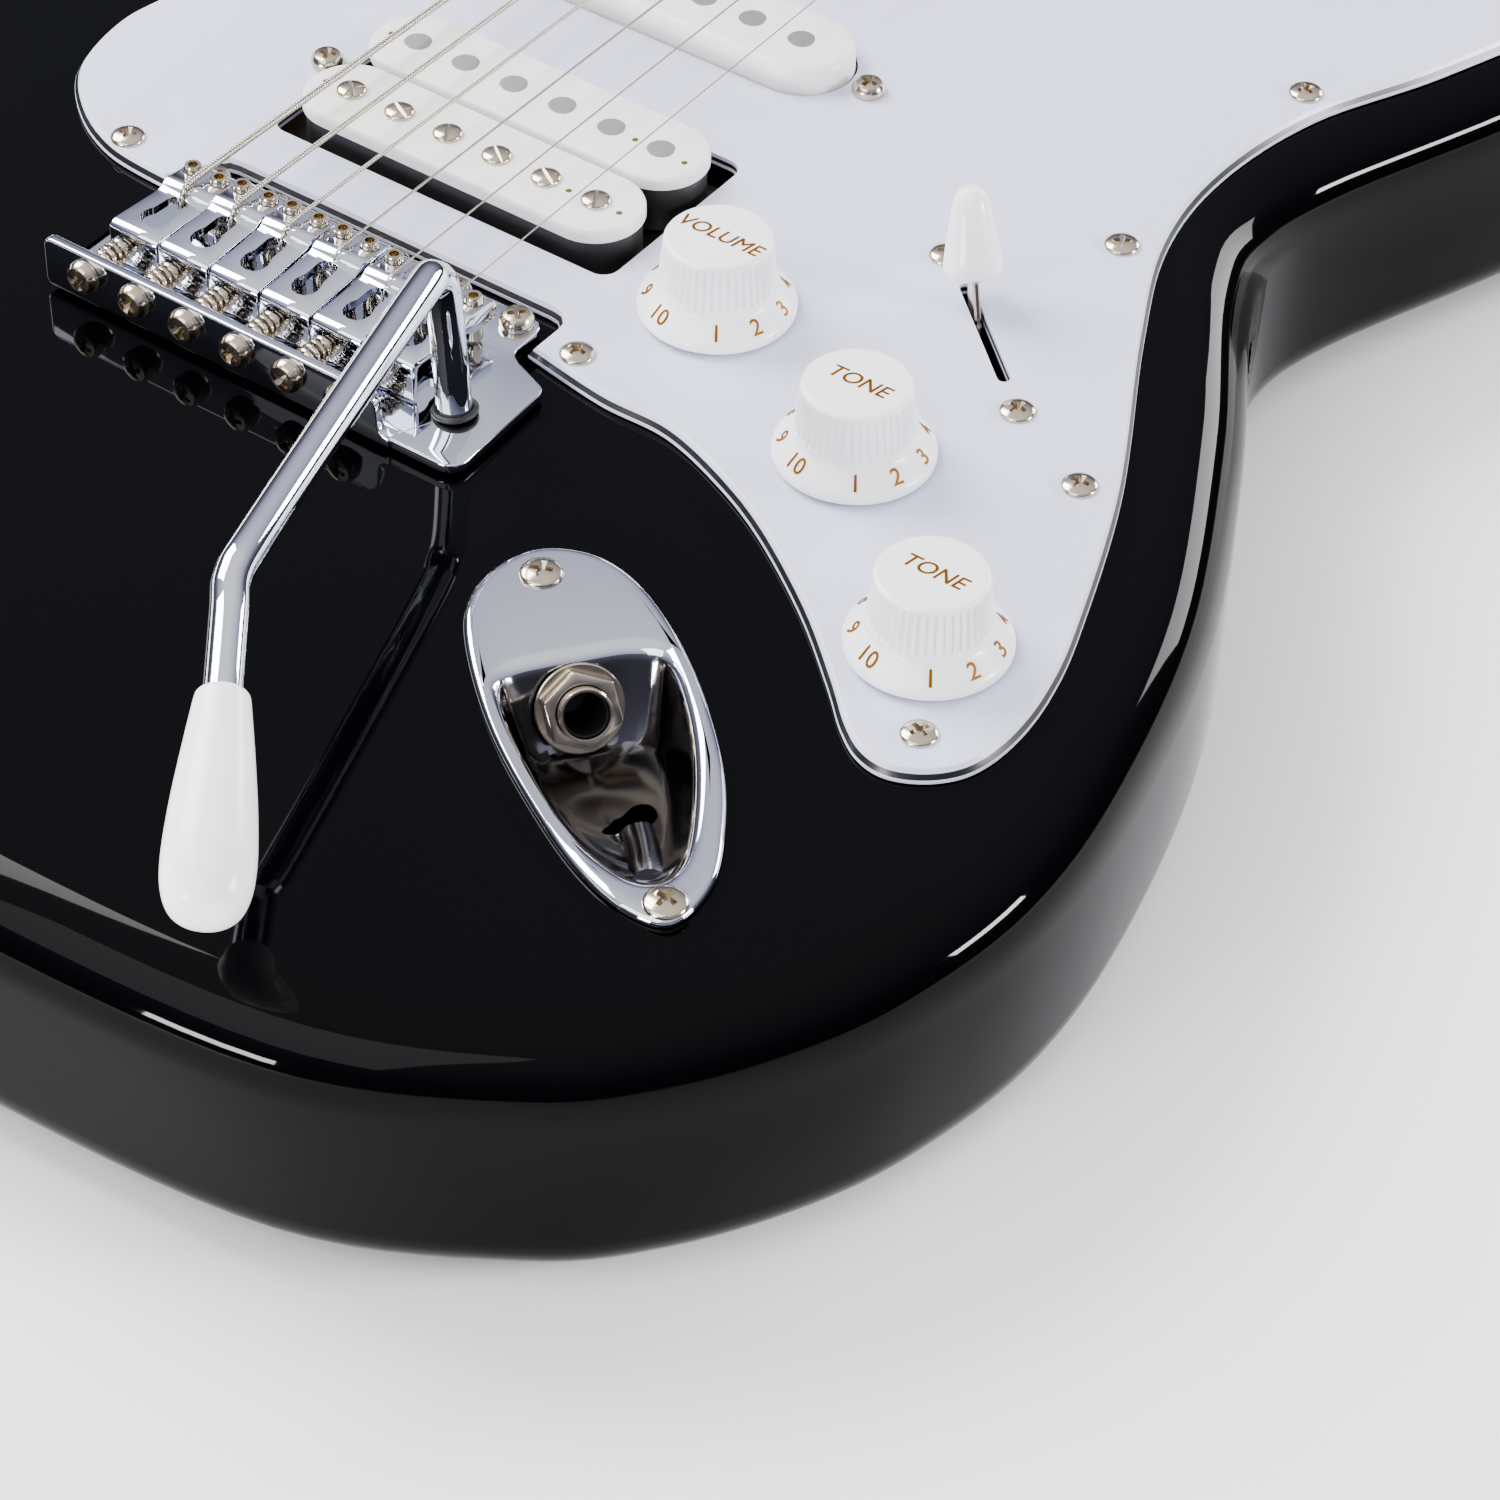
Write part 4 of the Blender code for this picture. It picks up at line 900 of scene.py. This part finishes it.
def make_jack_plate():
    edge, rim, floor = (spline(ring, 8)[::-1] for ring in (PLATE_EDGE_UW, CUP_RIM_UW,
                                                           CUP_FLOOR_UW))

    def grown(ring, distance):
        return inset(ring, -distance)

    def wall(share):
        """Straight down at the back, where the socket sits; rounding into the floor elsewhere."""
        found = []
        for (u, w), (rim_u, _) in zip(between(rim, floor, share), rim):
            sink = 0.3 - share * 1.2
            bowl = min(max((rim_u - BACK_WALL_U) / 6, 0), 1)
            fall = (1 - bowl) * share ** 1.05 + bowl * math.sin(math.pi / 2 * share)
            found.append((*jack_point(u, w), sink + (cup_floor_z(u) - sink) * fall))
        return found

    def trough(share):
        """The floor, drawn in towards its middle line and deepest there."""
        found = []
        for u, w in floor:
            here = u + (min(max(u, 31), 53) - u) * share
            drop = TROUGH_DEPTH * (1 - (1 - share) ** 2)
            found.append((*jack_point(here, w + (0.2 - w) * share), cup_floor_z(here) - drop))
        return found

    rings = [jack_ring(grown(floor, 0.8), lambda u: cup_floor_z(u) - 3.4),
             jack_ring(grown(rim, 1.3), -0.9), jack_ring(grown(rim, 2.0), 0.3),
             jack_ring(edge, 0.3), jack_ring(edge, 0.75), jack_ring(grown(edge, -0.25), 1.15),
             jack_ring(grown(edge, -0.7), 1.45), jack_ring(grown(edge, -1.3), 1.58),
             jack_ring(grown(edge, -1.9), 1.6), jack_ring(grown(rim, 2.4), 1.6),
             jack_ring(grown(rim, 1.7), 1.5), jack_ring(grown(rim, 1.1), 1.25),
             jack_ring(grown(rim, 0.5), 0.85)]
    rings += [wall(share) for share in (0.0, 0.08, 0.18, 0.32, 0.48, 0.64, 0.78, 0.9)]
    rings += [trough(share) for share in (0.0, 0.12, 0.28, 0.46, 0.66, 0.86)]
    plate = extruded("fine_jack_plate", rings)
    spout = [(48.4, 2.6), (51, 2.3), (54, 1.9), (58, 1.2), (62, 0.3), (65.2, -0.3)]
    lifts = (-9.8, -8.9, -7.7, -6.0, -4.2, -3.0)
    channel = swept("channel", [(*jack_point(u, w), z) for (u, w), z in zip(spout, lifts)], 3.2,
                    40)
    carve(plate, channel, operation="UNION")
    hole = [(40.8, 3.8), (41.4, 5.6), (43.4, 6.3), (46.2, 6.0), (47.6, 4.2), (47.7, 1.2),
            (47.3, -1.2), (46.4, -2.4), (45.2, -1.8), (43.8, 0.0), (42.4, 1.8)]
    outline = [jack_point(u, w) for u, w in spline(hole, 4)]
    carve(plate, cutter(outline, -14, -5.0),
          drum(5.1, -6, 6, (*jack_point(*JACK_FACE[:2]), JACK_FACE[2]), JACK_OUT, 48))
    finished(plate, CHROME, stands_for=["jack_plate"], angle=38)
    # The darker chrome goes on the cup's floor, the faces below the rim that face upwards: painted
    # shade in the recess.
    plate.data.materials.append(CUP_SHADE_CHROME)
    rim_height = at(0, 0, 0.25).z
    for face in plate.data.polygons:
        face.material_index = int(face.center.z < rim_height and face.normal.z > 0.12)
    set_screws(WIDE_OVAL, "jack_plate_screw", ((70.9, -44.7), (127.7, -90.6)), 1.6)


def make_jack_socket():
    stand = facing((*jack_point(*JACK_FACE[:2]), JACK_FACE[2]), JACK_OUT)
    washer = spun("jack_washer", [(4.9, 0.8), (6.8, 0.8), (7.0, 0.95), (7.0, 1.25), (6.8, 1.4),
                                  (4.9, 1.4)], 48, closed=True)
    finished(moved(washer, stand), NICKEL)
    nut = extruded("jack_hex_nut", [flat(disc(6.4, 6), 1.5), flat(disc(6.4, 6), 3.75)])
    bevelled(nut, 0.35, 3)
    carve(nut, drum(4.35, 0, 5, sides=48))
    turned_nut = facing((*jack_point(*JACK_FACE[:2]), JACK_FACE[2]), JACK_OUT, 0.5)
    finished(moved(nut, turned_nut), NICKEL, stands_for=["jack_nut"], angle=25)
    barrel = [(3.5, 5.3), (3.65, 5.6), (3.95, 5.6), (4.2, 5.3), (4.2, -2.6), (7.2, -2.6),
              (7.2, -16), (2.2, -16), (2.2, -12), (3.5, -10)]
    socket = spun("jack_bush", barrel, 48, closed=True)
    finished(moved(socket, stand), NICKEL, stands_for=["jack_socket"])
    # A black cup inside the socket's bore: painted shade for the dark of the deep hole.
    bore_shade = spun("jack_bore_painted_shade", [(0, -11.5), (2.4, -11.5), (3.45, -9.8), (3.45, 4.8),
                                  (3.3, 4.8), (3.3, -9.6), (0, -10.6)], 40)
    finished(moved(bore_shade, stand), COIL_TAPE)


# ---------------------------------------------------------------- bridge

SADDLE_X = [-26.2 + 10.45 * i for i in range(6)]
PLATE_LOW, PLATE_TOP = 0.8, 2.6
CONTACT_Y = -10.8
INTONATION_X = [-1.8 + 10.5 * (i - 2.5) for i in range(6)]
INTONATION_Z = 6.6


def contact_z(x):
    return 12.6 - x * x / TWICE_BOARD_RADIUS


def make_bridge_plate():
    outline = [(-35, -34.4), (42.8, -34.4), (44.3, -34.1), (45.6, -33.2), (46.2, -31.6),
               (45.9, -24), (45.3, -11.4), (44.9, -10.2), (43.9, -9.5), (37.9, -7.1),
               (36.2, -6.0), (35.5, -4.6), (35.5, 0.5), (35.1, 2), (34, 3.1), (32.5, 3.5),
               (-33, 3.5), (-34.5, 3.1), (-35.6, 2), (-36, 0.5), (-36, -33.4)]
    plate = slab("fine_bridge_plate", outline, PLATE_LOW, PLATE_TOP, 0.35, 3)
    side = [(-37, 2.0), (-36.2, 0.85), (33.5, 0.85), (33.5, 2.6), (32.4, 2.9), (31.5, 3.6),
            (31.05, 4.8), (31, 6.2), (30.8, 8.2), (30.1, 9.4), (28.9, 10.1), (27.5, 10.2),
            (-35.5, 10.2), (-36.6, 9.8), (-37, 8.8)]
    flange = extruded("flange", [[(x, y, z) for x, z in side] for y in (-34.7, -32.8)])
    bevelled(flange, 0.4, 3)
    carve(plate, flange, operation="UNION")
    bend = swept("bend", [(x, -33.0, 2.35) for x in (-35.5, 0, 30.5)], 0.9, 16)
    carve(plate, bend, operation="UNION")
    tools = [drum(2.0, -5, 8, (x, -11, 0)) for x in SADDLE_X]
    tools.append(drum(3.5, -5, 8, (ARM_BASE.x, ARM_BASE.y, 0), sides=40))
    carve(plate, *tools)
    finished(plate, CHROME, "tremolo", ["bridge_plate"], angle=35)
    for i in range(6):
        screw = copied(PAN, f"pivot_screw_{i + 1}",
                       facing((-31.5 + 12.6 * i, 0.7, PLATE_TOP), turn=0.5 + i))
        finished(screw, NICKEL)


def saddle_section(top):
    return [(-25.4, 3.2), (-25.4, 9.0), (-25.2, 9.7), (-24.6, 10.15), (-23.8, 10.35),
            (-14.0, top - 1.25), (-12.9, top - 1.2), (-12.3, top - 0.75), (-11.7, top - 0.25),
            (-10.8, top), (-9.9, top - 0.2), (-9.2, top - 0.35), (-5.2, top - 0.6),
            (-4.3, top - 0.9), (-3.8, top - 1.7), (-3.7, top - 3.0), (-4.0, top - 4.1),
            (-5.0, top - 4.4), (-9.6, top - 4.2), (-11.4, top - 3.2), (-13.2, top - 2.7),
            (-22.9, 8.95), (-23.7, 8.7), (-24.0, 8.0), (-24.0, 3.2)]


def make_saddles():
    for i, x in enumerate(SADDLE_X):
        body = f"saddle_{i + 1}"
        top = contact_z(x) - 0.3
        section = saddle_section(top)
        saddle = extruded(f"{body}_bent_plate", [[(x + side, y, z) for y, z in section]
                                                 for side in (-4.95, 4.95)])
        bevelled(saddle, 0.3, 2, 50)
        keyhole = [(x + dx, y) for dx, y in
                   ((1.8, -14.2), (1.8, -17.6), (2.2, -18.5), (2.4, -19.6), (2.1, -20.9),
                    (1.3, -21.8), (0, -22.1), (-1.3, -21.8), (-2.1, -20.9), (-2.4, -19.6),
                    (-2.2, -18.5), (-1.8, -17.6), (-1.8, -14.2), (-1.3, -13.3), (0, -12.9),
                    (1.3, -13.3))]
        carve(saddle, cutter(keyhole, 2, 20),
              drum(1.65, 2, 20, (x - 2.75, -6.9, 0)), drum(1.65, 2, 20, (x + 2.75, -6.9, 0)),
              drum(1.4, 20, 30, (INTONATION_X[i], 0, INTONATION_Z), (0, -1, 0)))
        finished(saddle, CHROME, body, [body], angle=38)
        for side, dx in (("left", -2.75), ("right", 2.75)):
            high = top + 0.6
            grub = spun(f"{body}_{side}_height_screw",
                        [(0.75, high - 2.2), (0, high - 2.2), (0, 2.95), (0.9, 2.95),
                         (1.5, 3.5), (1.5, high - 0.1), (1.32, high + 0.25),
                         (0.8, high + 0.25)], 24)
            close_top(grub)
            moved(grub, Matrix.Translation((x + dx, -6.9, 0)))
            finished(grub, NICKEL, body)
            socket = spun(f"{body}_{side}_hex_socket", [(0, high - 1.6), (0.78, high - 1.6),
                                                        (0.78, high - 1.5), (0, high - 1.5)], 6)
            moved(socket, Matrix.Translation((x + dx, -6.9, 0)))
            finished(socket, BRASS, body)
        make_intonation(i, x)


def close_top(obj):
    """Bridges the open rim of a spun screw down into its recess."""
    choose(obj)
    bpy.ops.object.mode_set(mode="EDIT")
    bpy.ops.mesh.select_all(action="DESELECT")
    mesh = bmesh.from_edit_mesh(obj.data)
    for edge in mesh.edges:
        edge.select = edge.is_boundary
    bpy.ops.mesh.bridge_edge_loops()
    face_outwards()


def make_intonation(i, x):
    """The long screw behind a saddle and the spring that pushes the saddle forwards."""
    screw_x = INTONATION_X[i]
    backwards = (0, -1, 0)
    head = copied(PAN, f"intonation_screw_{i + 1}",
                  facing((screw_x, -34.75, INTONATION_Z), backwards, 0.3 + 0.9 * i))
    finished(head, NICKEL, "tremolo")
    shaft_path = [(screw_x, -34.6, INTONATION_Z), (screw_x, -21.0, INTONATION_Z)]
    shaft = swept(f"intonation_shaft_{i + 1}", shaft_path, 1.2, 16)
    finished(shaft, NICKEL, "tremolo")
    turns, steps = 5, 18
    path = []
    for k in range(turns * steps + 1):
        angle = 2 * math.pi * k / steps
        path.append((screw_x + 1.85 * math.cos(angle), -32.4 + 6.6 * k / (turns * steps),
                     INTONATION_Z + 1.85 * math.sin(angle)))
    spring = swept(f"intonation_spring_{i + 1}", path, 0.42, 10)
    finished(spring, NICKEL, "tremolo", blended=(
        f"saddle_{i + 1}", (x, -32.4, INTONATION_Z), (x, -25.6, INTONATION_Z)), angle=60)


def make_arm():
    lean = Vector((-2.9, 0.6, 25.6)).normalized()
    route = ((37.0, -23.0, 8), (35.3, -22.6, 24.5), (35.6, -25.2, 29.3), (37.6, -31, 31.0),
             (47, -61.5, 32.9), (56.6, -92.8, 34.2), (59.0, -100.4, 33.6), (62.1, -105, 31.7),
             (69.4, -115.4, 28.2), (74.6, -122.9, 25.2))
    path = [tuple(ARM_BASE - lean * 6), tuple(ARM_BASE)] + list(spline(route, 7, closed=False))
    arm = swept("polished_tremolo_arm", path, 2.9, 40)
    finished(arm, CHROME, "arm", ["tremolo_arm"], angle=60)
    ring = [(3.35 + 0.5 * math.cos(2 * math.pi * k / 12), 0.7 + 0.5 * math.sin(
        2 * math.pi * k / 12)) for k in range(12)]
    seal = spun("arm_rubber_ring", ring, 40, closed=True)
    finished(moved(seal, facing(ARM_BASE, lean)), RUBBER, "arm")
    start = Vector((69.4, -115.4, 28.2))
    out = (Vector((87.7, -142.0, 17.9)) - start).normalized()
    keys = [(0.4, 0.5), (3.25, 0.35), (3.7, 0.6), (4.0, 1.2), (4.45, 4.4), (4.95, 8.2),
            (5.55, 13), (6.1, 18), (6.5, 23), (6.65, 26.5), (6.55, 29.5), (6.15, 32),
            (5.3, 34.2), (4.0, 35.5), (2.4, 36.1), (1.0, 36.25), (0, 36.27)]
    tip = spun("moulded_arm_tip", [(0, 0.5)] + spline(keys, 3, closed=False), 48)
    finished(moved(tip, facing(start, out)), WHITE_ABS, "arm", ["arm_tip"],
             angle=50)


# ---------------------------------------------------------------- strings

GAUGES = (1.168, 0.914, 0.660, 0.432, 0.330, 0.254)
POST_SLANT = 0.262
TREE_AT = (11.5, 706.0)


def post_place(i):
    step = 25.5 * i
    return (-20.5 + step * math.sin(POST_SLANT), 670.0 + step * math.cos(POST_SLANT))


def make_strings():
    for i, gauge in enumerate(GAUGES):
        radius = gauge / 2
        x, nut_x = SADDLE_X[i], -17.5 + 7.0 * i
        post_x, post_y = post_place(i)
        high = contact_z(x) + radius
        low = BOARD_TOP + 1.2 - nut_x * nut_x / TWICE_BOARD_RADIUS + 0.3 + radius
        start = [(x, -12.9, -6), (x, -13.6, 5), (x, -13.2, high - 3.0), (x, -12.4, high - 1.1),
                 (x, -11.6, high - 0.25), (x, -10.8, high), (x, -9.8, high + 0.02)]
        path = spline(start, 3, closed=False)
        path += [(x + (nut_x - x) * s, CONTACT_Y + (NUT_Y - 4.8 - CONTACT_Y) * s,
                  high + (low - high) * s) for s in [k / 24 for k in range(1, 25)]]
        path.append((nut_x, NUT_Y - 2.3, low - 0.1))
        if i > 3:
            side = TREE_AT[0] + (5 if i == 5 else -5)
            path.append((side, TREE_AT[1], 4.4))
        reach = 3.3 + radius
        path.append((post_x + reach, post_y - 1.0, 9.3))
        path.append((post_x + reach, post_y + 0.5, 9.3))
        string = swept(f"string_{i + 1}_wire", path, radius, 12)
        mat = WOUND_STEEL if i < 3 else STRING_STEEL
        finished(string, mat, "guitar", [f"string_{i + 1}"], angle=60,
                 blended=("tremolo", (x, 5, high), (x, -9, high)))
        turns, steps = 3, 16
        coil = [(post_x + (2.95 + radius) * math.cos(2 * math.pi * k / steps),
                 post_y + (2.95 + radius) * math.sin(2 * math.pi * k / steps),
                 9.3 - gauge * 1.02 * k / steps) for k in range(turns * steps + 1)]
        wraps = swept(f"string_{i + 1}_wraps", coil, radius, 10)
        finished(wraps, mat, f"tuner_post_{i + 1}", angle=60)


# ---------------------------------------------------------------- neck

def make_frets():
    for n in range(1, 22):
        y = NUT_Y - SCALE * (1 - 2 ** (-n / 12))
        share = (y - HEEL_Y) / (NUT_Y - HEEL_Y)
        half = 28 - 7 * share - 0.1
        section = ((-1.3, -0.9), (1.3, -0.9), (1.3, 0.1), (1.1, 0.55), (0.6, 1.0), (0, 1.13),
                   (-0.6, 1.0), (-1.1, 0.55), (-1.3, 0.1))
        rings = []
        for k in range(13):
            x = half * (1 - k / 6)
            rings.append([(x, y + dy, BOARD_TOP - x * x / TWICE_BOARD_RADIUS + dz + 0.02)
                          for dy, dz in section])
        finished(extruded(f"fret_{n}", rings), NICKEL, angle=50)


def make_dots():
    dot = spun("dot", [(0, -0.5), (3.1, -0.5), (3.1, 0.03), (2.9, 0.06), (0, 0.06)], 32)
    for n in (3, 5, 7, 9, 12, 15, 17, 19, 21):
        high, low = (NUT_Y - SCALE * (1 - 2 ** (-k / 12)) for k in (n - 1, n))
        for side in ((-10, 10) if n == 12 else (0,)):
            place = (side, (high + low) / 2,
                     BOARD_TOP - (abs(side) + 2) ** 2 / TWICE_BOARD_RADIUS)
            finished(copied(dot, f"dot_{n}_{'low' if side < 0 else 'high'}", facing(place)),
                     FRET_DOT)
    bpy.data.objects.remove(dot)


HEAD_BACK = -15.3
AWAY = Vector((-math.cos(POST_SLANT), math.sin(POST_SLANT), 0))


def make_tuner_strip():
    """Six closed housings on one strip, behind the headstock."""
    z = HEAD_BACK - 0.3
    strip = turn_flat(rounded_box(2.25, 0, 22.5, 146, 2), post_place(2.5), AWAY.xy)
    finished(slab("tuner_back_strip", strip, z - 1.2, z, 0.3), CHROME,
             stands_for=["tuner_strip"])
    for i in range(6):
        box = turn_flat(rounded_box(2, 0, 18, 15, 2.2), post_place(i), AWAY.xy)
        rings = [flat(inset(box, 2.0), z - 10.4), flat(inset(box, 1.1), z - 10.2),
                 flat(inset(box, 0.3), z - 9.6), flat(box, z - 8.8), flat(box, z - 1.15)]
        finished(extruded(f"tuner_housing_{i + 1}", rings), CHROME)


def make_tuners():
    post = spun("post", [(0, -15.2), (3, -15.2), (3, 6.6), (2.9, 7.1), (2.5, 8.3), (2.5, 10.7),
                         (2.9, 11.8), (3, 12.3), (3, 14.3), (2.7, 14.8), (2.3, 15), (1.2, 15),
                         (1.2, 12.5), (0, 12.5)], 40)
    bushing = spun("bushing", [(3.4, -1.6), (3.4, 0.5), (3.9, 0.7), (4.6, 0.3), (5.3, -0.5),
                               (5.5, -1.0), (5.5, -1.6)], 40, closed=True)
    keys = spline([(2.2, 2.2, 0), (2.2, 2.2, 6.5), (3.2, 3.0, 7.5), (7.5, 4.0, 10),
                   (9.3, 4.3, 14), (9.3, 4.2, 19), (7.4, 3.6, 22.6), (3.5, 2.4, 24.8),
                   (0.8, 0.8, 25)], 4, closed=False)
    button = extruded("button", [[(x * wide, y * thick, out) for x, y in disc(1, 36)]
                                 for wide, thick, out in keys])
    for i in range(6):
        x, y = post_place(i)
        finished(copied(post, f"tuner_{i + 1}_slotted_post", Matrix.Translation((x, y, 0))),
                 CHROME, f"tuner_post_{i + 1}", [f"tuner_post_{i + 1}"])
        finished(copied(bushing, f"tuner_{i + 1}_bushing", Matrix.Translation((x, y, 0))),
                 CHROME)
        start = Vector((x, y, HEAD_BACK - 6.3)) + AWAY * 11.3
        finished(copied(button, f"tuner_{i + 1}_cast_button", facing(start, AWAY)), CHROME,
                 f"tuner_button_{i + 1}", [f"tuner_button_{i + 1}"], angle=50)
    for pattern in (post, bushing, button):
        bpy.data.objects.remove(pattern)


def make_string_tree():
    x, y = TREE_AT
    stem = spun("string_tree_stem", [(0, -0.7), (3.5, -0.7), (3.5, 0.1), (3.2, 0.4), (1.6, 0.5),
                                     (1.6, 6.2), (0, 6.2)], 32)
    finished(moved(stem, Matrix.Translation((x, y, 0))), CHROME)
    wings = slab("string_tree_wings", rounded_box(x, y, 14, 4.2, 2), 5.7, 7.0, 0.4, 3)
    finished(wings, CHROME, stands_for=["string_tree"])
    screw = copied(OVAL, "string_tree_screw", facing((x, y, 6.9), turn=0.6)
                   @ Matrix.Scale(0.7, 4))
    finished(screw, NICKEL)


def make_strap_buttons():
    ends = (("tail_strap_button", (6, -149.0, -BODY_THICK / 2), (0, -1, 0)),
            ("horn_strap_button", (-112.6, 308.0, -BODY_THICK / 2), (-0.08, 1, 0)))
    outer = spline([(6.5, 0), (6.2, 1.5), (3.6, 3), (3.4, 8), (4.4, 10.5), (7.4, 12.3),
                    (7.6, 13.6), (6.6, 14.5), (4.6, 14.6)], 4, closed=False)
    profile = [(0, 0)] + outer + [(3.0, 13.6), (0, 13.6)]
    for name, place, axis in ends:
        button = spun(f"{name}_turned", profile, 48)
        finished(moved(button, facing(place, axis)), CHROME, stands_for=[name],
                 angle=50)
        seat = Vector(place) + Vector(axis).normalized() * 13.7
        finished(copied(OVAL, f"{name}_screw", facing(seat, axis, 0.5)), NICKEL)


BACK_PLATE_LOW = -BODY_THICK - 2.3


def make_back_plates():
    """The white cover over the tremolo springs, and the chrome plate that the neck bolts to."""
    low = BACK_PLATE_LOW
    cover = slab("spring_cover", rounded_box(0, 44, 96, 156, 6), low, low + 2.0, 0.5, 3)
    slot = cutter(rounded_box(0, -12, 66, 14, 6.9, 10), low - 5, low + 5)
    finished(carve(cover, slot), WHITE_ABS, stands_for=["tremolo_cover"])
    plate = slab("bolt_on_neck_plate", rounded_box(0, 211, 51, 64, 3), low, low + 2.0, 0.5, 3)
    finished(plate, CHROME, stands_for=["neck_plate"])


def make_neck():
    """The frame's own neck, merged and smoothed across its sections."""
    cad_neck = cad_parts["neck"]
    neck = cad_neck.copy()
    neck.data = cad_neck.data.copy()
    neck.name = "shaped_neck"
    bpy.context.collection.objects.link(neck)
    moved(neck, TO_FRAME.inverted())
    choose(neck)
    bpy.ops.object.mode_set(mode="EDIT")
    bpy.ops.mesh.select_all(action="SELECT")
    bpy.ops.mesh.remove_doubles(threshold=0.005)
    bpy.ops.mesh.tris_convert_to_quads()
    bpy.ops.object.mode_set(mode="OBJECT")
    finished(neck, MAPLE, stands_for=["neck"], angle=30)


def make_back_screws():
    down = (0, 0, -1)
    low = BACK_PLATE_LOW
    set_screws(OVAL, "cover_screw", ((-43.5, -29), (43.5, -29), (-43.5, 44), (43.5, 44),
                                     (-43.5, 117), (43.5, 117)), low + 0.9, axis=down)
    set_screws(WIDE_OVAL, "neck_plate_screw", ((-19, 185.5), (19, 185.5), (-19, 236.5),
                                               (19, 236.5)), low + 1.0, axis=down)


make_body()
make_pickguard()
POLE_SCREW, SLUG = make_humbucker()
make_single_coils(SLUG)
make_knobs()
make_switch_tip()
make_jack_plate()
make_jack_socket()
make_bridge_plate()
make_saddles()
make_arm()
make_strings()
make_neck()
make_frets()
make_dots()
make_tuner_strip()
make_tuners()
make_string_tree()
make_strap_buttons()
make_back_plates()
make_back_screws()
for pattern in (OVAL, WIDE_OVAL, PAN, POLE_SCREW, SLUG):
    bpy.data.objects.remove(pattern)

# ---------------------------------------------------------------- finishes of the CAD nodes

CAD_FINISHES = (
    ("switch_body", BLACK_ABS), ("fretboard", ROSEWOOD), ("nut", BONE), ("inertia_block", ZINC),
    ("spring_claw", ZINC), ("tremolo_spring", ZINC), ("baseplate", NICKEL), ("pot", NICKEL),
    ("switch_lever", NICKEL),
)
for name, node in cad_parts.items():
    finish = next((mat for part, mat in CAD_FINISHES if part in name), CHROME)
    node.data.materials.clear()
    node.data.materials.append(finish)
